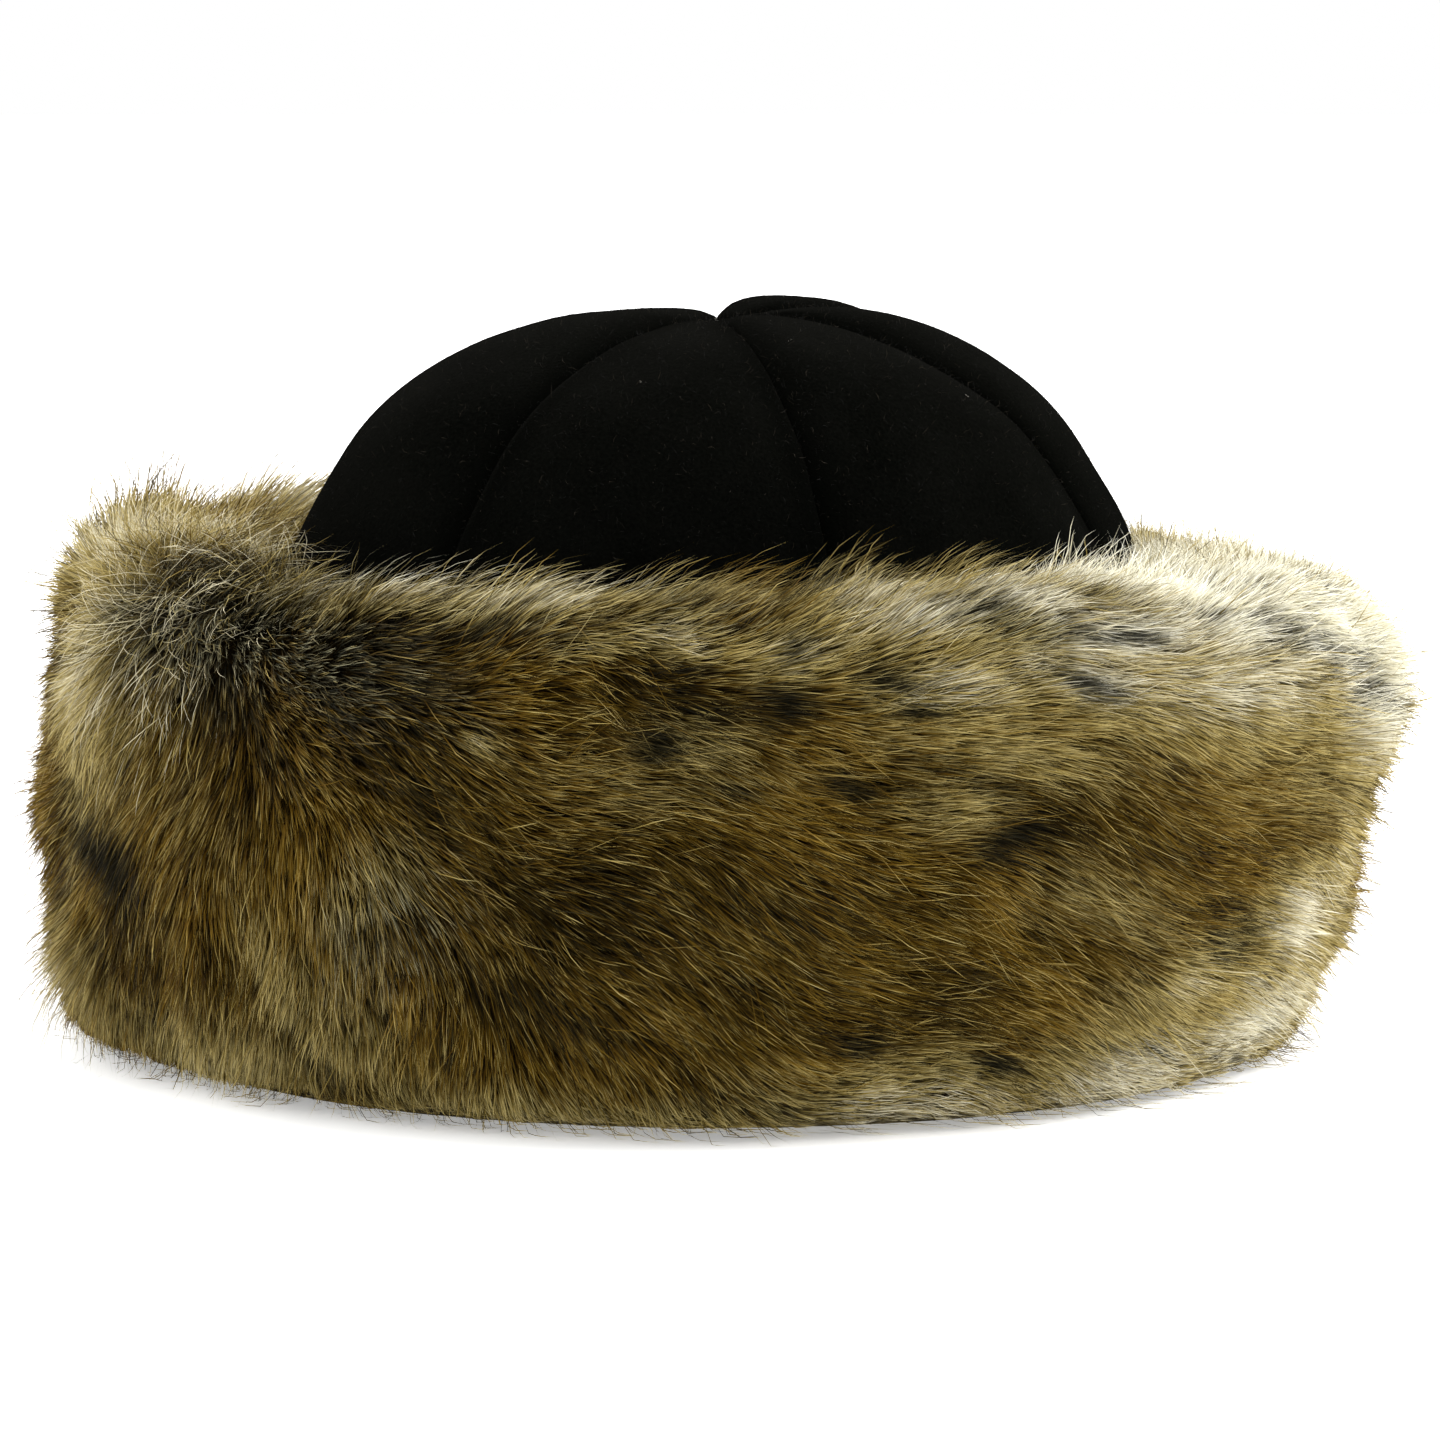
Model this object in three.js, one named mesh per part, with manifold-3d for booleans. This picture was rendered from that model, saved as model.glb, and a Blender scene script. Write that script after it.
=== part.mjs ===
// Fur hat: a crown of six felt gores, with a deep fur cuff turned up round it
//
// Millimetres, +Z up. The hat stands on the floor, its front is -Y and the back seam of its cuff is +Y.
// An azimuth is in degrees from the front, turning through +X (90), the back (180) and -X (270).

import * as THREE from 'three';
import { mergeVertices } from 'three/addons/utils/BufferGeometryUtils.js';
import Module from 'manifold-3d';

const wasm = await Module();
wasm.setup();

// Felt crown
const CROWN_HALF_WIDTH = 89.2;
const CROWN_HALF_LENGTH = 100.2;
const FELT_THICKNESS = 2.2;
const SEAM_GAP = 0.3;
const SEAM_SINK = 3.2;
const SEAM_FADE_RADIUS = 24;
const TIP_RADIUS = 0.5;

// Outline of the crown through the middle of a gore, from the rim to the apex: the height, and the size
// as a share of the oval above
const CROWN_PROFILE = [
  { height: 4, share: 0.965 },
  { height: 45, share: 1.0 },
  { height: 80, share: 0.99 },
  { height: 103, share: 0.95 },
  { height: 117, share: 0.876 },
  { height: 129.5, share: 0.798 },
  { height: 138.8, share: 0.705 },
  { height: 148, share: 0.555 },
  { height: 153.4, share: 0.385 },
  { height: 155.6, share: 0.2 },
  { height: 151.8, share: 0.0 },
];

// The gores: the azimuth of their first seam at the rim and near the apex, and how much fuller they stand
// at the top than the outline
const GORES = [
  { name: 'crown_gore_1', seamAtRim: 45, seamAtApex: 47, fullness: 0 },
  { name: 'crown_gore_2', seamAtRim: 117, seamAtApex: 126, fullness: 0 },
  { name: 'crown_gore_3', seamAtRim: 189, seamAtApex: 205, fullness: -2.4 },
  { name: 'crown_gore_4', seamAtRim: 245, seamAtApex: 234, fullness: -0.8 },
  { name: 'crown_gore_5', seamAtRim: 299, seamAtApex: 272, fullness: 0.8 },
  { name: 'crown_gore_6', seamAtRim: 352, seamAtApex: 335, fullness: 2.8 },
];
const FULL_SHARE = 0.4;
const EVEN_SHARE = 0.9;
const PUFF_POWER = 4;
const GORE_ROWS = 12;
const GORE_COLUMNS = 8;

// Fur cuff, out to the tips of its locks: radius at the floor, at three heights and at the ridge, and the
// height of the ridge
const LOW_HEIGHT = 24;
const MIDDLE_HEIGHT = 50;
const HIGH_HEIGHT = 82;
const VALLEY_HEIGHT = 97;
const SHOULDER_REACH = 0.62;
const SHOULDER_CLIMB = 0.7;
const CUFF_OUTLINE = [
  { azimuth: 0, foot: 125, low: 137, middle: 145, high: 146, ridge: 121, top: 106 },
  { azimuth: 45, foot: 128, low: 138, middle: 143, high: 143, ridge: 119, top: 110 },
  { azimuth: 90, foot: 132, low: 139, middle: 140, high: 139, ridge: 117, top: 114 },
  { azimuth: 135, foot: 139, low: 143, middle: 145, high: 143, ridge: 119, top: 114 },
  { azimuth: 180, foot: 124, low: 137, middle: 145, high: 147, ridge: 121, top: 110 },
  { azimuth: 225, foot: 130, low: 137, middle: 141, high: 139, ridge: 118, top: 109 },
  { azimuth: 270, foot: 122, low: 132, middle: 137, high: 138, ridge: 118, top: 109 },
  { azimuth: 315, foot: 126, low: 134, middle: 141, high: 146, ridge: 120, top: 104 },
];
const CUFF_COLUMNS = 48;
const CUFF_SECTION_STEPS = 9;
const CUFF_TO_CROWN_GAP = 0.5;
const FLOOR_SIZE = 400;
const FLOOR_DEPTH = 50;
const SEAM_AZIMUTH = 178;
const SEAM_DIP = 4;
const SEAM_DIP_WIDTH = 15;
const SEAM_DIP_FOOT = 30;

// Locks of the fur, in rows round the cuff
const LOCK_ROWS = [
  { name: 'foot', up: 0.08 },
  { name: 'low', up: 0.25 },
  { name: 'middle', up: 0.4 },
  { name: 'high', up: 0.53 },
  { name: 'shoulder', up: 0.68 },
  { name: 'ridge', up: 0.86 },
];
const LOCKS_PER_ROW = 30;
const LOCK_LENGTH = 46;
const LOCK_WIDTH = 28;
const LOCK_CREST = 4;
const LOCK_RISE = 6;
const LOCK_ROOT_DEPTH = 5;
const LOCK_SINK = 1.5;
const SIDE_SCATTER = 0.25;
const HEIGHT_SCATTER = 0.04;
const LENGTH_SCATTER = 0.15;
const WIDTH_SCATTER = 0.2;
const CUFF_GIRTH = 866;
const CUFF_SECTION_LENGTH = 155;

// The stations along a lock: how far along, its width, and its lift from under the fur to the tip
const LOCK_STATIONS = [
  { along: 0.0, width: 0.7, lift: -0.7, crest: 0.6 },
  { along: 0.35, width: 1.0, lift: 0.0, crest: 1.0 },
  { along: 1.0, width: 0.0, lift: 1.0, crest: 0.0 },
];

// Lie of the nap by the bearing from the whorl at the top of the back seam, both in degrees in the
// unrolled cuff, 0 towards rising azimuth and 90 upwards
const WHORL_HEIGHT = 98;
const NAP = [
  { bearing: -180, lie: -168 },
  { bearing: -145, lie: -140 },
  { bearing: -115, lie: -112 },
  { bearing: -85, lie: -96 },
  { bearing: -60, lie: -80 },
  { bearing: -45, lie: -55 },
  { bearing: -32, lie: -28 },
  { bearing: -10, lie: -10 },
  { bearing: 20, lie: 10 },
  { bearing: 60, lie: 60 },
  { bearing: 100, lie: 100 },
  { bearing: 140, lie: 145 },
  { bearing: 180, lie: 192 },
];
const RIDGE_UPTURN = 45;
const UPTURN_START = 0.55;
const UPTURN_END = 0.8;
const UPTURN_ARC = 60;
const FRONT_FADE = 25;

// Share of a span that is stepped over to find a slope
const SLOPE_STEP = 0.01;
const AHEAD_STEP = 0.1;

const radians = THREE.MathUtils.degToRad;
const lerp = THREE.MathUtils.lerp;
const smoothstep = THREE.MathUtils.smoothstep;

/** Unit vector in plan towards an azimuth. */
function towards(azimuth) {
  return new THREE.Vector3(Math.sin(radians(azimuth)), -Math.cos(radians(azimuth)), 0);
}

/** Value of a table's column at a place in its key column, on straight lines between the rows. */
function lookUp(table, key, place, column) {
  const last = table.findIndex((row) => row[key] >= place);
  if (last < 1) {
    return (last === 0 ? table[0] : table.at(-1))[column];
  }
  const [from, to] = [table[last - 1], table[last]];
  return lerp(from[column], to[column], (place - from[key]) / (to[key] - from[key]));
}

/** Closed skin over rings of points. The first and last rings are capped, or joined to each other. */
function skin(rings, endsMeet = false) {
  const size = rings[0].length;
  const index = [];
  const quad = (a, b, c, d) => index.push(a, b, c, a, c, d);
  for (let i = 0; i < rings.length - (endsMeet ? 0 : 1); i++) {
    const next = (i + 1) % rings.length;
    for (let j = 0; j < size; j++) {
      const k = (j + 1) % size;
      quad(i * size + j, i * size + k, next * size + k, next * size + j);
    }
  }
  if (!endsMeet) {
    const top = (rings.length - 1) * size;
    for (let low = 0, high = size - 1; low < high; low++, high--) {
      quad(high, high - 1, low + 1, low);
      quad(top + low, top + low + 1, top + high - 1, top + high);
    }
  }
  const geometry = new THREE.BufferGeometry();
  const positions = rings.flat().flatMap((point) => point.toArray());
  geometry.setAttribute('position', new THREE.Float32BufferAttribute(positions, 3));
  geometry.setIndex(index);
  return withoutEmptyFaces(mergeVertices(geometry, 1e-4));
}

/** The geometry without the faces that have come down to a line or a point. */
function withoutEmptyFaces(geometry) {
  const index = geometry.getIndex().array;
  const kept = [];
  for (let i = 0; i < index.length; i += 3) {
    const [a, b, c] = [index[i], index[i + 1], index[i + 2]];
    if (a !== b && b !== c && c !== a) {
      kept.push(a, b, c);
    }
  }
  geometry.setIndex(kept);
  return geometry;
}

/** Solid for cutting and joining, from a closed geometry. */
function solid(geometry) {
  const vertProperties = new Float32Array(geometry.getAttribute('position').array);
  const triVerts = new Uint32Array(geometry.getIndex().array);
  return new wasm.Manifold(new wasm.Mesh({ numProp: 3, vertProperties, triVerts }));
}

/** Geometry of a solid. */
function geometryOf(body) {
  const mesh = body.getMesh();
  const geometry = new THREE.BufferGeometry();
  geometry.setAttribute('position', new THREE.BufferAttribute(mesh.vertProperties, mesh.numProp));
  geometry.setIndex(new THREE.BufferAttribute(mesh.triVerts, 1));
  return geometry;
}

const crownProfile = new THREE.SplineCurve(
  CROWN_PROFILE.map(({ height, share }) => new THREE.Vector2(share, height)),
);

/** Point of the crown's even outline at an azimuth, some way from the rim (0) to the apex (1). */
function crownOutline(azimuth, along) {
  const { x: share, y: height } = crownProfile.getPoint(along);
  const plan = towards(azimuth);
  return new THREE.Vector3(
    plan.x * CROWN_HALF_WIDTH * share,
    plan.y * CROWN_HALF_LENGTH * share,
    height,
  );
}

/** Azimuth of a gore's first seam where the crown has a share of its full size. */
function seamAzimuth(gore, share) {
  return lerp(gore.seamAtApex, gore.seamAtRim, share);
}

/** The gore that shares a gore's last seam, its azimuths counted on past a full turn. */
function nextGore(gore) {
  const place = GORES.indexOf(gore) + 1;
  const next = GORES[place % GORES.length];
  const turn = place === GORES.length ? 360 : 0;
  return { seamAtRim: next.seamAtRim + turn, seamAtApex: next.seamAtApex + turn };
}

/** Point of a gore, across from one seam (0) to the other (1), moved out by an offset. */
function gorePoint(gore, across, along, offset, gap) {
  const share = crownProfile.getPoint(along).x;
  const reach = Math.max(share * CROWN_HALF_WIDTH, TIP_RADIUS);
  const inset = THREE.MathUtils.radToDeg(Math.asin(Math.min(gap / 2 / reach, 0.5)));
  const first = seamAzimuth(gore, share) + inset;
  const last = seamAzimuth(nextGore(gore), share) - inset;
  const azimuth = lerp(first, last, across);
  const middle = crownOutline(azimuth, along);
  const sideways = crownOutline(azimuth + SLOPE_STEP, along)
    .sub(crownOutline(azimuth - SLOPE_STEP, along));
  const upwards = crownOutline(azimuth, Math.min(along + SLOPE_STEP, 1))
    .sub(crownOutline(azimuth, Math.max(along - SLOPE_STEP, 0)));
  const outwards = sideways.cross(upwards).normalize();
  const edge = Math.abs(2 * across - 1) ** PUFF_POWER;
  const fade = smoothstep(reach, 0, SEAM_FADE_RADIUS);
  const fullness = gore.fullness * (1 - smoothstep(share, FULL_SHARE, EVEN_SHARE));
  const puff = fullness * (1 - edge) - SEAM_SINK * edge;
  return middle.addScaledVector(outwards, puff * fade + offset);
}

/** Closed wall of one felt gore, which comes to a point at the apex. */
function goreWall(gore) {
  const rings = [];
  const columns = Array.from({ length: GORE_COLUMNS + 1 }, (_, j) => j / GORE_COLUMNS);
  for (let i = 0; i < GORE_ROWS; i++) {
    const along = i / GORE_ROWS;
    const outside = columns.map((across) => gorePoint(gore, across, along, 0, SEAM_GAP));
    const inside = columns.map((across) => gorePoint(gore, across, along, -FELT_THICKNESS, SEAM_GAP));
    rings.push([...outside, ...inside.reverse()]);
  }
  const middleOfTip = (gore.seamAtApex + nextGore(gore).seamAtApex) / 2;
  const apex = towards(middleOfTip).multiplyScalar(TIP_RADIUS);
  const tip = apex.clone().setZ(CROWN_PROFILE.at(-1).height);
  const tipInside = tip.clone().setZ(tip.z - FELT_THICKNESS);
  rings.push([...columns.map(() => tip), ...columns.map(() => tipInside)]);
  return skin(rings);
}

/** Closed space that the cuff leaves for the crown. */
function crownRoom() {
  const rings = [];
  const columns = Array.from({ length: GORE_COLUMNS }, (_, j) => j / GORE_COLUMNS);
  const roundTheCrown = (along) => GORES.flatMap((gore) => (
    columns.map((across) => gorePoint(gore, across, along, CUFF_TO_CROWN_GAP, 0))
  ));
  rings.push(roundTheCrown(0).map((point) => point.setZ(-1)));
  for (let i = 0; i < GORE_ROWS; i++) {
    rings.push(roundTheCrown(i / GORE_ROWS));
  }
  return skin(rings);
}

/** Closed line round the cuff at one level of its section. */
function levelLine(radiusOf, heightOf) {
  const points = CUFF_OUTLINE.map((row) => (
    towards(row.azimuth).multiplyScalar(radiusOf(row)).setZ(heightOf(row))
  ));
  return new THREE.CatmullRomCurve3(points, true);
}

/** Radius of the crown's oval at an azimuth. */
function crownRadius(azimuth) {
  const plan = towards(azimuth);
  return 1 / Math.hypot(plan.x / CROWN_HALF_WIDTH, plan.y / CROWN_HALF_LENGTH);
}

const cuffLevels = [
  levelLine((row) => row.foot - LOCK_RISE / 2, () => 0),
  levelLine((row) => row.low - LOCK_RISE, () => LOW_HEIGHT),
  levelLine((row) => row.middle - LOCK_RISE, () => MIDDLE_HEIGHT),
  levelLine((row) => row.high - LOCK_RISE, () => HIGH_HEIGHT),
  levelLine((row) => lerp(row.ridge, row.high, SHOULDER_REACH) - LOCK_RISE / 2,
    (row) => lerp(HIGH_HEIGHT, row.top, SHOULDER_CLIMB) - LOCK_RISE / 2),
  levelLine((row) => row.ridge, (row) => row.top - LOCK_RISE),
  levelLine((row) => crownRadius(row.azimuth), () => VALLEY_HEIGHT),
];

/** Point of the fur's body: round the cuff (0 to 1 from the front) and up its section (0 to 1). */
function cuffPoint(around, up) {
  const turn = ((around % 1) + 1) % 1;
  const section = new THREE.CatmullRomCurve3(cuffLevels.map((level) => level.getPoint(turn)));
  return section.getPoint(THREE.MathUtils.clamp(up, 0, 1));
}

/** Direction out of the fur's body. */
function cuffNormal(around, up) {
  const place = THREE.MathUtils.clamp(up, SLOPE_STEP, 1 - SLOPE_STEP);
  const sideways = cuffPoint(around + SLOPE_STEP, place).sub(cuffPoint(around - SLOPE_STEP, place));
  const upwards = cuffPoint(around, place + SLOPE_STEP).sub(cuffPoint(around, place - SLOPE_STEP));
  return sideways.cross(upwards).normalize();
}

/** Depth of the dip along the back seam. */
function seamDip(around, height) {
  const distance = (around - SEAM_AZIMUTH / 360) * CUFF_GIRTH;
  const depth = SEAM_DIP * smoothstep(height, SEAM_DIP_FOOT, WHORL_HEIGHT);
  return depth * Math.exp(-((distance / SEAM_DIP_WIDTH) ** 2));
}

/** Point at a lift above the fur's body. */
function furPoint(around, up, lift) {
  const point = cuffPoint(around, up);
  return point.addScaledVector(cuffNormal(around, up), lift - seamDip(around, point.z));
}

/** Ring of fur that carries the locks, from the crown out to the roots of their tips. */
function furBody() {
  const rings = [];
  for (let i = 0; i < CUFF_COLUMNS; i++) {
    const around = i / CUFF_COLUMNS;
    const outside = Array.from({ length: CUFF_SECTION_STEPS + 1 }, (_, j) => (
      furPoint(around, j / CUFF_SECTION_STEPS, 0)
    ));
    const inner = towards(around * 360).multiplyScalar(crownRadius(around * 360) - 2 * SEAM_SINK);
    rings.push([inner.clone().setZ(0), outside[0].setZ(0), ...outside.slice(1), inner.setZ(VALLEY_HEIGHT)]);
  }
  return skin(rings.reverse(), true);
}

/** Lie of the nap at a place on the cuff, in degrees, 0 towards rising azimuth and 90 upwards. */
function lieOfNap(around, up) {
  const arc = (around - SEAM_AZIMUTH / 360) * CUFF_GIRTH;
  const height = cuffPoint(around, up).z - WHORL_HEIGHT;
  const bearing = THREE.MathUtils.radToDeg(Math.atan2(height, arc));
  const lie = lookUp(NAP, 'bearing', bearing, 'lie');
  const upturn = RIDGE_UPTURN * smoothstep(up, UPTURN_START, UPTURN_END);
  const side = Math.sign(arc) * smoothstep(Math.abs(arc), 0, UPTURN_ARC);
  const fromFront = 180 - Math.abs(around * 360 - 180);
  return lerp(-90, lie + upturn * side, smoothstep(fromFront, 0, FRONT_FADE));
}

/** One pointed lock that lies along the nap, its root under the fur's body. */
function lock(around, up, length, width) {
  const lie = radians(lieOfNap(around, up));
  const stepRound = Math.cos(lie) * length / CUFF_GIRTH;
  const stepUp = Math.sin(lie) * length / CUFF_SECTION_LENGTH;
  const place = (along) => [around + stepRound * along, up + stepUp * along];
  const rings = LOCK_STATIONS.map((station) => {
    const [placeRound, placeUp] = place(station.along);
    const lift = station.lift < 0 ? station.lift * LOCK_ROOT_DEPTH : station.lift * LOCK_RISE;
    const middle = furPoint(placeRound, placeUp, lift);
    const outwards = cuffNormal(placeRound, placeUp);
    const ahead = furPoint(...place(station.along + AHEAD_STEP), lift).sub(middle);
    const sideways = outwards.clone().cross(ahead).normalize().multiplyScalar(width * station.width / 2);
    const base = middle.clone().addScaledVector(outwards, -LOCK_SINK * station.width);
    return [
      base.clone().sub(sideways),
      base.clone().add(sideways),
      middle.clone().addScaledVector(outwards, LOCK_CREST * station.crest),
    ];
  });
  return skin(rings);
}

/** Steady scatter between -1 and 1 for a counted thing. */
function scatter(count, kind) {
  const wave = Math.sin(count * 12.9898 + kind * 78.233) * 43758.5453;
  return 2 * (wave - Math.floor(wave)) - 1;
}

/** Fur of the cuff: its body and locks fused, flat on the floor and clear of the crown. */
function furCuff() {
  let fur = solid(furBody());
  for (const [row, { up }] of LOCK_ROWS.entries()) {
    for (let i = 0; i < LOCKS_PER_ROW; i++) {
      const count = row * LOCKS_PER_ROW + i;
      const around = (i + (row % 2) / 2 + SIDE_SCATTER * scatter(count, 1)) / LOCKS_PER_ROW;
      const height = up + HEIGHT_SCATTER * scatter(count, 2);
      const length = LOCK_LENGTH * (1 + LENGTH_SCATTER * scatter(count, 3));
      const width = LOCK_WIDTH * (1 + WIDTH_SCATTER * scatter(count, 4));
      fur = fur.add(solid(lock(around, height, length, width)));
    }
  }
  const floor = new THREE.BoxGeometry(FLOOR_SIZE, FLOOR_SIZE, FLOOR_DEPTH)
    .translate(0, 0, -FLOOR_DEPTH / 2);
  floor.deleteAttribute('normal');
  floor.deleteAttribute('uv');
  return geometryOf(fur.subtract(solid(mergeVertices(floor))).subtract(solid(crownRoom())));
}

/** Named mesh with its own material. */
function piece(name, geometry, finish) {
  const mesh = new THREE.Mesh(geometry, new THREE.MeshStandardMaterial(finish));
  mesh.name = name;
  return mesh;
}

const BLACK_FELT = { color: 0x0d0c0b, roughness: 0.95, metalness: 0 };
const BROWN_FUR = { color: 0x7a643c, roughness: 0.8, metalness: 0 };

const hat = new THREE.Group();
for (const gore of GORES) {
  hat.add(piece(gore.name, goreWall(gore), BLACK_FELT));
}
hat.add(piece('fur_cuff', furCuff(), BROWN_FUR));

const middle = new THREE.Box3().setFromObject(hat).getCenter(new THREE.Vector3());
hat.position.set(-middle.x, -middle.y, 0);

export default hat;
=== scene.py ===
"""Fur hat: the finish of its felt crown and the hair of its deep fur cuff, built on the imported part.

Metres, +Z up. The hat stands on the floor, its front is -Y and the back seam of its cuff is +Y. An azimuth is
in degrees from the front, turning through +X (90), the back (180) and -X (270).
"""

import logging
import math
from dataclasses import dataclass, field
from enum import Enum

import bmesh
import bpy
import numpy as np
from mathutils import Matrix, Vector
from mathutils.bvhtree import BVHTree
from mathutils.kdtree import KDTree


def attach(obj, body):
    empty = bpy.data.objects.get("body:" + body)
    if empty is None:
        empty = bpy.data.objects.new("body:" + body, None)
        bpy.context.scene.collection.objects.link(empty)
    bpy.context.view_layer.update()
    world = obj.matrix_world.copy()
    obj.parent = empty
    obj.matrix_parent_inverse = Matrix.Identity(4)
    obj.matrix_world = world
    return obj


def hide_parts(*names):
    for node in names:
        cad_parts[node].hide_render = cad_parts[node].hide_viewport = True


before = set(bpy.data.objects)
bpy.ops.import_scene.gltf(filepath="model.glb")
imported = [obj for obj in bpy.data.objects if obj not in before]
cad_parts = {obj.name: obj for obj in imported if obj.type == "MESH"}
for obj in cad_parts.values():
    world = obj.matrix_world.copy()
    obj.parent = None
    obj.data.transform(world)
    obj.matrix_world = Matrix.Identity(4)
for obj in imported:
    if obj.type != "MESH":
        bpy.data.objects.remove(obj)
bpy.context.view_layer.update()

log = logging.getLogger("fur_hat")

MM = 0.001
BODY = "root"
CROWN_AXIS = (-0.8 * MM, 2.4 * MM)
GORE_NAMES = [f"crown_gore_{count}" for count in range(1, 7)]
CUFF_NAME = "fur_cuff"

# Widths of a hair at its start, middle and end, compared with its usual width.
HAIR_TAPER = (0.8, 1.0, 0.35)
FLOOR_GAP = 0.1 * MM
# A bake cell's height compared with its width, and its margin.
CELL_SHAPE = 3.0
CELL_MARGIN = 0.1
# Density of the places that carry no fibres.
ALMOST_NONE = 1e-6

Colour = tuple[float, float, float]
Pair = tuple[float, float]


class Slot(Enum):
    """The record's material slots."""

    FELT = "felt"
    FUR = "fur"


class Tone(Enum):
    """What a marking does to the fur. The first three are the numbers of the marking attribute, in order."""

    PALE = 0
    DARK = 1
    GREY = 2
    FULL = 3


class Home(Enum):
    """Where a kind of hair grows."""

    COAT = "all over the cuff"
    RIDGE = "all over, and closer together along the ridge and the foot"
    WHORL = "round the whorl"


def smoothstep(values: np.ndarray, low: float, high: float) -> np.ndarray:
    """Eases from 0 at low to 1 at high, which may be the smaller of the two.

    Args:
        values: Where to read the step.
        low: The value at which it leaves 0.
        high: The value at which it comes to 1.

    Returns:
        The step at each value.
    """
    share = np.clip((values - low) / (high - low), 0.0, 1.0)
    return share * share * (3.0 - 2.0 * share)


def unit(vectors: np.ndarray) -> np.ndarray:
    """Vectors scaled to a length of 1."""
    return vectors / np.maximum(np.linalg.norm(vectors, axis=-1, keepdims=True), 1e-12)


def max_of(first: np.ndarray, *others: np.ndarray) -> np.ndarray:
    """The largest of several values, place by place."""
    for other in others:
        first = np.maximum(first, other)
    return first


def azimuth_of(points: np.ndarray) -> np.ndarray:
    """Azimuth of each point round the crown's axis, in degrees from 0 to 360."""
    x = points[..., 0] - CROWN_AXIS[0]
    y = points[..., 1] - CROWN_AXIS[1]
    return np.degrees(np.arctan2(x, -y)) % 360.0


def towards(azimuth: float, elevation: float) -> Vector:
    """The direction from the hat to an azimuth and elevation, both in degrees."""
    turn, rise = math.radians(azimuth), math.radians(elevation)
    return Vector((math.sin(turn) * math.cos(rise), -math.cos(turn) * math.cos(rise), math.sin(rise)))


def radius_of(points: np.ndarray) -> np.ndarray:
    """Distance of each point from the crown's axis."""
    return np.hypot(points[..., 0] - CROWN_AXIS[0], points[..., 1] - CROWN_AXIS[1])


def tree_of(points: np.ndarray) -> KDTree:
    """A search tree of places, which finds the number of the nearest."""
    tree = KDTree(len(points))
    for number, point in enumerate(points):
        tree.insert(point, number)
    tree.balance()
    return tree


@dataclass(frozen=True)
class SmoothNoise:
    """Smooth noise in space, the same at every run.

    Attributes:
        size: Distance over which the noise changes.
        seed: Start of its random numbers.
        cells: Cells along each side before it repeats.
    """

    size: float
    seed: int
    cells: int = 64

    def at(self, points: np.ndarray) -> np.ndarray:
        """Reads the noise.

        Args:
            points: Places, one in each row.

        Returns:
            A value from -1 to 1 for each place.
        """
        lattice = np.random.default_rng(self.seed).uniform(-1.0, 1.0, (self.cells,) * 3)
        place = points / self.size
        low = np.floor(place).astype(int)
        share = place - low
        share = share * share * (3.0 - 2.0 * share)
        total = np.zeros(len(points))
        for corner in np.ndindex(2, 2, 2):
            cell = (low + corner) % self.cells
            weight = np.prod(np.where(corner, share, 1.0 - share), axis=1)
            total += weight * lattice[cell[:, 0], cell[:, 1], cell[:, 2]]
        return total


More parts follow.
